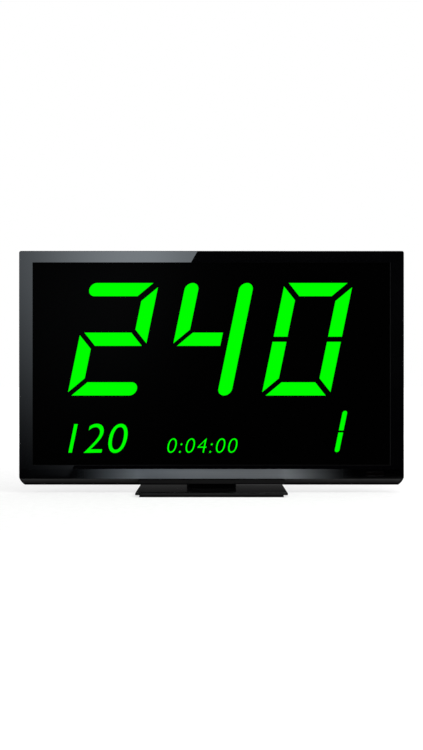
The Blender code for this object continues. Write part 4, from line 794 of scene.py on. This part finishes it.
acrylic, shader, place = new_finish("dotted_acrylic")
plane = mapped(place, Rotation=(math.radians(90), 0.0, 0.0))
cells = add_node(
    place, "TexVoronoi", {"voronoi_dimensions": "2D"}, Vector=plane, Scale=dots_to_metre, Randomness=0.0
).outputs["Distance"]
dots = between(cells, 0.22, 0.30, 1.0, 0.0)
feed_all(
    shader,
    Base_Color=mixed(dots, (0.93, 0.96, 0.96, 1.0), (0.98, 0.98, 0.98, 1.0)),
    Roughness=maths("ADD", times(dots, 0.5), 0.04),
    Transmission_Weight=0.85,
    IOR=1.49,
)
paint_nodes(acrylic, "light_guide_plate")

# Lamp bars. Narrow white-lacquered boards along the top and bottom edges of the acrylic plate,
# each with a row of small lamps under yellow phosphor.

bar_white = linear(214, 216, 210)
phosphor = linear(226, 196, 70)
lamps_in_bar = 24
low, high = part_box("led_bar_upper")


def from_step_middle(steps):
    """How far a place is from the middle of its step, in a row of equal steps."""
    return apart(maths("FRACT", steps), 0.5)


lamp_bar, shader, place = new_finish("lamp_bar_lacquer")
along = times(axes(place)["X"], lamps_in_bar / (high.x - low.x))
lamps = between(from_step_middle(along), 0.10, 0.12, 1.0, 0.0)
gloss = noise(place, 300.0, 2.0)
feed_all(
    shader,
    Base_Color=mixed(lamps, bar_white, phosphor),
    Roughness=between(gloss, 0.2, 0.8, 0.30, 0.42),
)
paint_nodes(lamp_bar, "led_bar_upper", "led_bar_lower")

# Inner frame. The ledge frame that carries the cell is moulded in plain black plastic.

plain_black = plastic("plain_moulded_black", linear(20, 20, 21), 0.5, (1100.0, 0.02), marks=0.0)
paint_nodes(plain_black, "panel_mid_frame")

# Tray, rails and bracket. Zinc-plated sheet steel, pressed, folded and spot-welded; the tray
# carries the lamps and sheets, the rails take a wall bracket and the bracket takes the neck.


def worked_metal(name, colour, roughness, crystals=140.0):
    """Bare or plated metal, with its crystals, its rolling marks and a few scuffs."""
    finish, shader, place = new_finish(name)
    cells = add_node(place, "TexVoronoi", Vector=place, Scale=crystals)
    tone = axes(cells.outputs["Color"])["X"]
    rolling = noise(mapped(place, Scale=(4.0, 4.0, 320.0)), 3.0, 5.0)
    scuffs = use_group(handling_marks, place, Scale=24.0)["Marks"]
    dull = tuple(0.78 * c for c in colour[:3]) + (1.0,)
    rough = between(rolling, 0.3, 0.7, roughness - 0.06, roughness + 0.06)
    feed_all(
        shader,
        Base_Color=mixed(tone, dull, colour),
        Roughness=maths("ADD", rough, times(scuffs, 0.12)),
        Metallic=1.0,
        Normal=relief(rolling, 0.3, 0.00003),
    )
    return finish


zinc_sheet = worked_metal("zinc_plated_sheet", linear(176, 179, 180), 0.38)
paint_nodes(zinc_sheet, "backlight_tray", "stand_bracket")
for side in ("left", "right"):
    dressed_copy(side + "_wall_rail", "wall_mount_rail_" + side, zinc_sheet, 0.0004)

# Wall-mount threads. Each boss of the rails is tapped from its face; the crests of the thread
# stand out bright from the wall of the hole.

thread_pitch = 0.00125
boss_face_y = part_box("wall_mount_rail_left")[1].y
thread_outer = 0.0034
thread_crest = 0.0029
thread_turns = 12
thread_lead = 0.0002
thread_slack = 0.0001
wall_screw_x = 0.200
wall_screw_heights = (0.188, 0.588)


def ringed(name, rings, sides, capped=True):
    """A turned piece about Z, drawn out ring by ring; a ring is a radius and a height."""
    deselect_all()
    radius, height = rings[0]
    ends = "NGON" if capped else "NOTHING"
    bpy.ops.mesh.primitive_circle_add(
        vertices=sides, radius=radius, location=(0.0, 0.0, height), fill_type=ends
    )
    piece = bpy.context.object
    piece.name = name
    bpy.ops.object.transform_apply(location=True, rotation=False, scale=False)
    bpy.context.tool_settings.mesh_select_mode = (False, not capped, capped)
    extrude = bpy.ops.mesh.extrude_region_move if capped else bpy.ops.mesh.extrude_edges_move
    edit_all()
    for next_radius, next_height in rings[1:]:
        extrude(TRANSFORM_OT_translate={"value": (0.0, 0.0, next_height - height)})
        share = next_radius / radius
        bpy.ops.transform.resize(value=(share, share, 1.0), center_override=(0.0, 0.0, next_height))
        radius, height = next_radius, next_height
    bpy.ops.mesh.select_all(action="SELECT")
    bpy.ops.mesh.remove_doubles(threshold=0.000002)
    bpy.ops.mesh.normals_make_consistent(inside=False)
    leave_edit()
    bpy.ops.object.shade_smooth_by_angle(angle=math.radians(40))
    return piece


def placed_copy(pattern, name, matrix, body):
    """A copy of a pattern with its own mesh, put in its place."""
    piece = bpy.data.objects.new(name, pattern.data.copy())
    bpy.context.scene.collection.objects.link(piece)
    piece.data.transform(matrix)
    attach(piece, body)
    return piece


def set_in_place(pattern, name, seat, out, body, turned=0.0):
    """Puts a copy of a turned piece on its seat, facing out."""
    facing = Vector(out).to_track_quat("Z", "Y").to_matrix().to_4x4()
    matrix = Matrix.Translation(seat) @ facing @ Matrix.Rotation(turned, 4, "Z")
    return placed_copy(pattern, name, matrix, body)


def put_away(pattern):
    """Removes a pattern once its copies are made."""
    bpy.data.objects.remove(pattern)


bright_zinc = worked_metal("bright_zinc", linear(196, 198, 200), 0.24, 900.0)
thread_rings = [(thread_outer, -2 * thread_lead), (thread_crest + thread_slack, -3 * thread_lead)]
for turn in range(thread_turns):
    crest_height = -4 * thread_lead - turn * thread_pitch
    thread_rings.append((thread_crest, crest_height))
    thread_rings.append((thread_outer - thread_slack, crest_height - thread_pitch / 2))
thread_rings.append((thread_outer, thread_rings[-1][1]))
thread_rings.append(thread_rings[0])
thread = ringed("wall_screw_thread", thread_rings, 32, capped=False)
thread.data.materials.append(bright_zinc)
for side, x in (("left", -wall_screw_x), ("right", wall_screw_x)):
    for level, z in zip(("lower", "upper"), wall_screw_heights):
        seat = (x, boss_face_y, z)
        set_in_place(thread, f"wall_thread_{level}_{side}", seat, (0, 1, 0), "display")
put_away(thread)

# Heat sink. Extruded aluminium with fins, left as it leaves the press, clipped on the main chip.

bare_aluminium = worked_metal("extruded_aluminium", linear(186, 188, 190), 0.32, 400.0)
dressed_copy("finned_heat_sink", "heat_sink", bare_aluminium)

# Transformer. A stack of thin steel plates in brown varnish round a winding of enamelled copper
# wire, laid turn on turn.

wires_to_metre = 1250.0
core_leg_from_middle = 0.0160
core_yoke_from_middle = 0.0060
core_edge = 0.0002


def middle_of(node):
    """The middle of a construction solid's box."""
    low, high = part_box(node)
    return (low + high) / 2


wound, shader, place = new_finish("wound_copper_and_core")
at = axes(place)
core_middle = middle_of("power_transformer")
wire = maths("SINE", times(at["Y"], 2 * math.pi * wires_to_metre))
sideways = apart(at["X"], core_middle.x)
outwards = apart(at["Y"], core_middle.y)
in_leg = between(sideways, core_leg_from_middle - core_edge, core_leg_from_middle)
in_yoke = between(outwards, core_yoke_from_middle - core_edge, core_yoke_from_middle)
in_core = maths("MAXIMUM", in_leg, in_yoke)
plates = noise(place, 900.0, 2.0)
copper = mixed(between(wire, -1.0, 1.0), linear(120, 58, 24), linear(206, 122, 66))
varnish = mixed(plates, linear(52, 42, 34), linear(80, 70, 60))
feed_all(
    shader,
    Base_Color=mixed(in_core, copper, varnish),
    Roughness=between(plates, 0.2, 0.8, 0.30, 0.45),
    Metallic=maths("SUBTRACT", 1.0, in_core),
    Normal=relief(wire, 0.5, 0.00015),
)
paint_nodes(wound, "power_transformer")

# Leads inside. A bundle of insulated wires runs between the two large boards, and a flat cable of
# bonded conductors goes up to the timing board.

strands_to_metre = 140.0
conductors_to_metre = 700.0

bundle, shader, place = new_finish("insulated_wire_bundle")
lay = mapped(place, Rotation=(0.0, math.radians(24), 0.0))
strands = add_node(
    place, "TexWave", {"wave_type": "BANDS", "bands_direction": "Z"},
    Vector=lay, Scale=strands_to_metre, Distortion=0.6
).outputs["Fac"]
feed_all(
    shader,
    Base_Color=mixed(strands, linear(14, 14, 15), linear(58, 58, 60)),
    Roughness=between(strands, 0.0, 1.0, 0.55, 0.40),
    Normal=relief(strands, 0.7, 0.0003),
)
paint_nodes(bundle, "power_harness")

ribbon, shader, place = new_finish("flat_white_cable")
at = axes(place)
both_ways = maths("ADD", at["X"], at["Z"])
ridge = maths("SINE", times(both_ways, 2 * math.pi * conductors_to_metre))
on_ridge = between(ridge, -1.0, 1.0)
feed_all(
    shader,
    Base_Color=mixed(on_ridge, linear(196, 197, 194), linear(228, 229, 226)),
    Roughness=between(ridge, -1.0, 1.0, 0.50, 0.40),
    Normal=relief(ridge, 0.5, 0.0001),
)
paint_nodes(ribbon, "panel_flat_cable")

# Speakers. Two closed black boxes behind the lip, each moulded in two halves and glued.

paint_nodes(plain_black, "speaker_left", "speaker_right")

# Rear cover. One large moulding in black plastic whose outside takes a fine sparked grain from the
# tool; ten small screws hold it to the front frame.

cover_black = plastic("sparked_black", linear(27, 27, 29), 0.50, (1300.0, 0.05), marks=0.08, dust=0.12)
dressed_copy("rear_cover_moulding", "rear_cover", cover_black, 0.0003, 30.0)

# Cover screws. Black pan-head screws with a cross recess, sunk in wells round the edge of the
# cover; they cut their own thread in the posts of the front frame.

well_floor_y = -0.012
cover_head = (0.0031, 0.0018)
cover_shank = (0.00165, 0.008)
cover_recess = (0.60, 0.26, 0.36)
cover_screw_turn = 0.6
seat_gap = 0.0001
head_profile = ((0.30, 1.0), (0.62, 0.97), (0.84, 0.82), (0.96, 0.56), (1.0, 0.26), (1.0, 0.0))
screw_turn_share = 0.30
screw_root_share = 0.82
screw_point_share = 0.5
recess_foot = (0.40, 0.60)
cover_screw_places = [
    *[(side * x, 0.7351) for side in (-1, 1) for x in (0.5815, 0.1938)],
    *[(side * 0.5815, z) for side in (-1, 1) for z in (0.5682, 0.2055)],
    *[(side * 0.5605, 0.0451) for side in (-1, 1)],
]


def pan_screw(name, head, shank, recess, finish):
    """A pan-head screw on its seat at the origin: head and shank are a radius and a length.

    The recess is the length, width and depth of its arms, as shares of the head's radius.
    """
    head_radius, head_height = head
    shank_radius, shank_length = shank
    rings = [(share * head_radius, rise * head_height) for share, rise in head_profile]
    rings.append((shank_radius, 0.0))
    turn = screw_turn_share * shank_radius
    for i in range(1, int(shank_length / turn)):
        rings.append((shank_radius * (screw_root_share if i % 2 else 1.0), -i * turn))
    rings.append((screw_point_share * shank_radius, -shank_length))
    screw = ringed(name, rings, 36)
    length, width, depth = (share * head_radius for share in recess)
    for turned in (0.0, math.radians(90)):
        arm = block("recess_arm", (2 * length, width, 2 * depth), (0.0, 0.0, head_height))
        for vert in arm.data.vertices:
            if vert.co.z < head_height:
                vert.co.x *= recess_foot[0]
                vert.co.y *= recess_foot[1]
        arm.data.transform(Matrix.Rotation(turned, 4, "Z"))
        take_up(screw)
        slot_cut = screw.modifiers.new("cross_recess", "BOOLEAN")
        slot_cut.object = arm
        slot_cut.solver = "EXACT"
        bpy.ops.object.modifier_apply(modifier="cross_recess")
        put_away(arm)
    take_up(screw)
    bpy.ops.object.shade_smooth_by_angle(angle=math.radians(40))
    screw.data.materials.clear()
    screw.data.materials.append(finish)
    return screw


black_zinc = worked_metal("black_passivated_zinc", linear(42, 42, 45), 0.34, 900.0)
screw = pan_screw("cover_screw", cover_head, cover_shank, cover_recess, black_zinc)
for i, (x, z) in enumerate(cover_screw_places):
    seat = (x, well_floor_y + seat_gap, z)
    turned = cover_screw_turn * i
    set_in_place(screw, f"cover_screw_{i + 1}", seat, (0, 1, 0), "display", turned)
put_away(screw)

# Sockets. Folded and tin-plated shells stand on the control board and look out of a bay in the
# cover; each holds a black tongue or wafer with gold-plated contacts.

socket_z = 0.300
socket_tongues = {
    "hdmi_socket_1": (0.0110, 0.0016, 0.0010),
    "hdmi_socket_2": (0.0110, 0.0016, 0.0010),
    "usb_socket": (0.0112, 0.0018, 0.0025),
}
tongue_gap = 0.0001
tongue_sunk = 0.0003


def contact_tongue(name, middle_x, pitch):
    """Black plastic with flat gold contacts side by side, at their pitch across X."""
    finish, shader, place = new_finish(name)
    step = maths("DIVIDE", maths("SUBTRACT", axes(place)["X"], middle_x), pitch)
    gold = between(from_step_middle(step), 0.24, 0.28, 1.0, 0.0)
    feed_all(
        shader,
        Base_Color=mixed(gold, linear(16, 16, 17), linear(232, 190, 96)),
        Metallic=gold,
        Roughness=maths("SUBTRACT", 0.5, times(gold, 0.25)),
    )
    return finish


def refinish_inside(piece, low, high):
    """Gives the faces of a piece that lie wholly in a box its second finish."""
    for face in piece.data.polygons:
        corners = [piece.data.vertices[i].co for i in face.vertices]
        if all(low[i] < c[i] < high[i] for c in corners for i in range(3)):
            face.material_index = 1


tin_shell = worked_metal("tin_plated_shell", linear(200, 201, 198), 0.26, 1200.0)
socket_black = plastic(
    "socket_moulding_black", linear(17, 17, 18), 0.42, (1800.0, 0.01), marks=0.0, dust=0.05
)
for node in ("hdmi_socket_1", "hdmi_socket_2", "usb_socket", "network_socket"):
    shell = dressed_copy(node + "_shell", node, tin_shell)
    if node in socket_tongues:
        low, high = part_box(node)
        width, height, pitch = socket_tongues[node]
        x = middle_of(node).x
        reach = Vector((width / 2 + tongue_gap, 0.0, height / 2 + tongue_gap))
        shell.data.materials.append(contact_tongue(node + "_contacts", x, pitch))
        refinish_inside(
            shell, Vector((x, low.y, socket_z)) - reach, Vector((x, high.y - tongue_sunk, socket_z)) + reach
        )

network_x = middle_of("network_socket").x
network_mouth_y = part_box("network_socket")[1].y
spring_pitch = 0.00102
spring_count = 8
spring_size = (0.00040, 0.0078, 0.00030)
spring_arch = 0.0024
spring_droop = 0.0006
spring_sunk = 0.0020
spring_drop = 0.0038
spring = block("network_spring", spring_size, (0.0, -spring_size[1] / 2, 0.0))
edit_all()
bpy.ops.mesh.subdivide(number_cuts=6)
leave_edit()
for vert in spring.data.vertices:
    inward = -vert.co.y / spring_size[1]
    vert.co.z += spring_arch * math.sin(math.pi * inward) ** 2 - spring_droop * inward
gold, shader, place = new_finish("gold_plated_spring")
worn = use_group(handling_marks, place, Scale=300.0)["Marks"]
feed_all(
    shader,
    Base_Color=mixed(worn, linear(232, 190, 96), linear(196, 160, 92)),
    Roughness=maths("ADD", times(worn, 0.2), 0.2),
    Metallic=1.0,
)
spring.data.materials.append(gold)
for i in range(spring_count):
    x = network_x + (i - (spring_count - 1) / 2) * spring_pitch
    matrix = Matrix.Translation((x, network_mouth_y - spring_sunk, socket_z - spring_drop))
    placed_copy(spring, f"network_spring_{i + 1}", matrix, "display")
put_away(spring)

liner_bore = 0.00172
liner_outside = 0.00184
liner_depth = 0.0100
flange_face = 0.00018
flange_back = 0.00002
flange_radii = (0.00360, 0.00380)
liner_rings = [
    (liner_bore, -liner_depth),
    (liner_bore, -seat_gap),
    (liner_bore + flange_face, flange_face),
    (flange_radii[0], flange_face),
    (flange_radii[1], flange_back),
    (liner_outside, flange_back),
    (liner_outside, -liner_depth),
    (liner_bore, -liner_depth),
]
dressed_copy("sound_socket_body", "sound_output_socket", socket_black, 0.0003)
liner = ringed("liner_pattern", liner_rings, 32, capped=False)
liner.data.materials.append(tin_shell)
sound_seat = (middle_of("sound_output_socket").x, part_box("sound_output_socket")[1].y, socket_z)
set_in_place(liner, "sound_socket_liner", sound_seat, (0, 1, 0), "display")
put_away(liner)

# Mains inlet and switch. The inlet is a flanged black moulding with three flat nickel pins in its
# well; beside it a rocker tilts on two trunnions in a flanged housing, with a bar and a ring on it.

inlet_pin_places = ((0.0, 0.0040), (-0.0070, -0.0020), (0.0070, -0.0020))
inlet_pin_reach = (0.0011, 0.0021)
inlet_pin_sunk = 0.004
rocker_axis = Vector((0.357, 0.011, 0.300))
rocker_tilt = math.radians(8)
rocker_face_middle = 0.0030
rocker_face_rise = 0.0012
rocker_half_height = 0.0094
mark_from_middle = 0.0052
mark_thickness = 0.0001
on_mark_size = (0.0006, 0.0040)
off_mark_radii = (0.0014, 0.0020)

inlet = dressed_copy("mains_inlet_moulding", "mains_inlet", socket_black)
nickel = worked_metal("nickel_plated_pins", linear(206, 203, 194), 0.22, 1200.0)
inlet.data.materials.append(nickel)
low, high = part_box("mains_inlet")
inlet_middle = middle_of("mains_inlet")
for u, v in inlet_pin_places:
    x, z = inlet_middle.x + u, inlet_middle.z + v
    refinish_inside(
        inlet,
        (x - inlet_pin_reach[0], low.y - seat_gap, z - inlet_pin_reach[1]),
        (x + inlet_pin_reach[0], high.y - inlet_pin_sunk, z + inlet_pin_reach[1]),
    )

dressed_copy("switch_housing_moulding", "mains_switch_housing", socket_black)
dressed_copy("switch_rocker_moulding", "mains_switch_rocker", socket_black, 0.0003)

mark_white, shader, place = new_finish("printed_white")
patchy = noise(place, 1500.0, 2.0)
feed_all(
    shader,
    Base_Color=mixed(patchy, linear(205, 205, 205), linear(228, 228, 228)),
    Roughness=between(patchy, 0.2, 0.8, 0.45, 0.6),
)

on_mark = block("switch_on_mark", (on_mark_size[0], mark_thickness, on_mark_size[1]))
pick_edges(on_mark, lambda a, b: abs(a.y - b.y) > mark_thickness / 2)
bpy.ops.mesh.bevel(offset=0.49 * on_mark_size[0], segments=4, affect="EDGES")
leave_edit()

inner, outer = off_mark_radii
ring = [(inner, 0.0), (inner, mark_thickness), (outer, mark_thickness), (outer, 0.0), (inner, 0.0)]
off_mark = ringed("switch_off_mark", ring, 40, capped=False)
off_mark.data.transform(Matrix.Rotation(math.radians(90), 4, "X"))

face_slope = math.atan2(rocker_face_rise, rocker_half_height)
for mark, way in ((on_mark, 1), (off_mark, -1)):
    share = mark_from_middle / rocker_half_height
    face_y = rocker_face_middle + rocker_face_rise * share + mark_thickness / 2
    on_face = Matrix.Translation((0.0, face_y, way * mark_from_middle))
    leaning = Matrix.Rotation(-way * face_slope, 4, "X")
    tilted = Matrix.Translation(rocker_axis) @ Matrix.Rotation(rocker_tilt, 4, "X")
    mark.data.transform(tilted @ on_face @ leaning)
    mark.data.materials.append(mark_white)
    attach(mark, "rocker")

# Side keys. Five small satin keys stand through the right-hand side of the cover and press small
# switches on the board behind them.

key_finish = plastic("satin_key_black", linear(20, 20, 22), 0.36, (2200.0, 0.015), marks=0.15, dust=0.1)
for node in ("power_key", "input_key", "menu_key", "volume_up_key", "volume_down_key"):
    dressed_copy(node + "_cap", node, key_finish, 0.0004)

# Neck. A bent steel upright painted black carries the display; a moulded cover hides its screws
# behind the cabinet, and a gloss collar hides its foot.

neck_paint = plastic("black_stove_enamel", linear(15, 15, 16), 0.34, (1500.0, 0.03), marks=0.1, dust=0.2)
dressed_copy("bent_upright", "neck_upright", neck_paint, 0.0004)
dressed_copy("neck_cover_moulding", "neck_rear_cover", cover_black, 0.0004)
dressed_copy("collar_moulding", "neck_collar", piano_black, 0.0003)

# Neck screws. Four zinc-plated pan-head screws hold the display on its neck, and two hold the
# neck's foot on the turntable.

neck_head = (0.0045, 0.0028)
neck_shank_radius = 0.0025
neck_screw_turn = 0.8
neck_recess = (0.58, 0.22, 0.34)
turned = 0.0
for kind, count, out in (("neck_screw_", 4, Vector((0, 1, 0))), ("foot_screw_", 2, Vector((0, 0, 1)))):
    low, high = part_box(kind + "1")
    shank = (neck_shank_radius, (high - low).dot(out) - neck_head[1])
    screw = pan_screw(kind + "pattern", neck_head, shank, neck_recess, bright_zinc)
    for i in range(count):
        node = kind + str(i + 1)
        low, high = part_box(node)
        crown = (low + high) / 2 + out * (high - low).dot(out) / 2
        seat = crown - out * neck_head[1]
        piece = set_in_place(screw, "plated_" + node, seat, out, "display", turned)
        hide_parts(node)
        turned += neck_screw_turn
    put_away(screw)

# Base cover. A thin gloss-black moulding with an upright rim over a sunk plinth, and a round well
# for the turntable.

dressed_copy("base_moulding", "stand_base_cover", piano_black)

# Swivel. A painted steel turntable runs on a slippery white ring and turns on a stud with a nut
# and washer; a pin in the base plate stops it in a curved slot.

slippery = plastic("white_bearing_plastic", linear(214, 214, 208), 0.35, (1500.0, 0.01), marks=0.0, dust=0.0)
gloss_enamel = plastic("gloss_black_enamel", linear(3, 3, 4), 0.03, (1500.0, 0.004), marks=0.05, dust=0.05)
dressed_copy("turntable_disc", "swivel_turntable", gloss_enamel, 0.0001)
dressed_copy("bearing_ring", "swivel_glide_ring", slippery)
dressed_copy("pivot_stud", "swivel_pivot_stud", bright_zinc)
dressed_copy("stop_pin", "swivel_stop_pin", bright_zinc)
dressed_copy("stud_washer", "pivot_washer", bright_zinc)
dressed_copy("stud_nut", "pivot_nut", bright_zinc, 0.0003)

# Base plate and feet. A sheet-steel plate in the base gives it weight, and stands on four soft
# rubber pads stuck under its corners.

dressed_copy("weight_plate", "stand_base_plate", zinc_sheet, 0.0004)

rubber, shader, place = new_finish("soft_black_rubber")
powder = noise(place, 700.0, 4.0)
feed_all(
    shader,
    Base_Color=mixed(powder, linear(20, 20, 20), linear(38, 38, 37)),
    Roughness=between(powder, 0.2, 0.8, 0.75, 0.92),
    Normal=relief(powder, 0.4, 0.0001),
)
for side in ("front_left", "front_right", "rear_left", "rear_right"):
    dressed_copy("foot_pad_" + side, "base_foot_" + side, rubber)
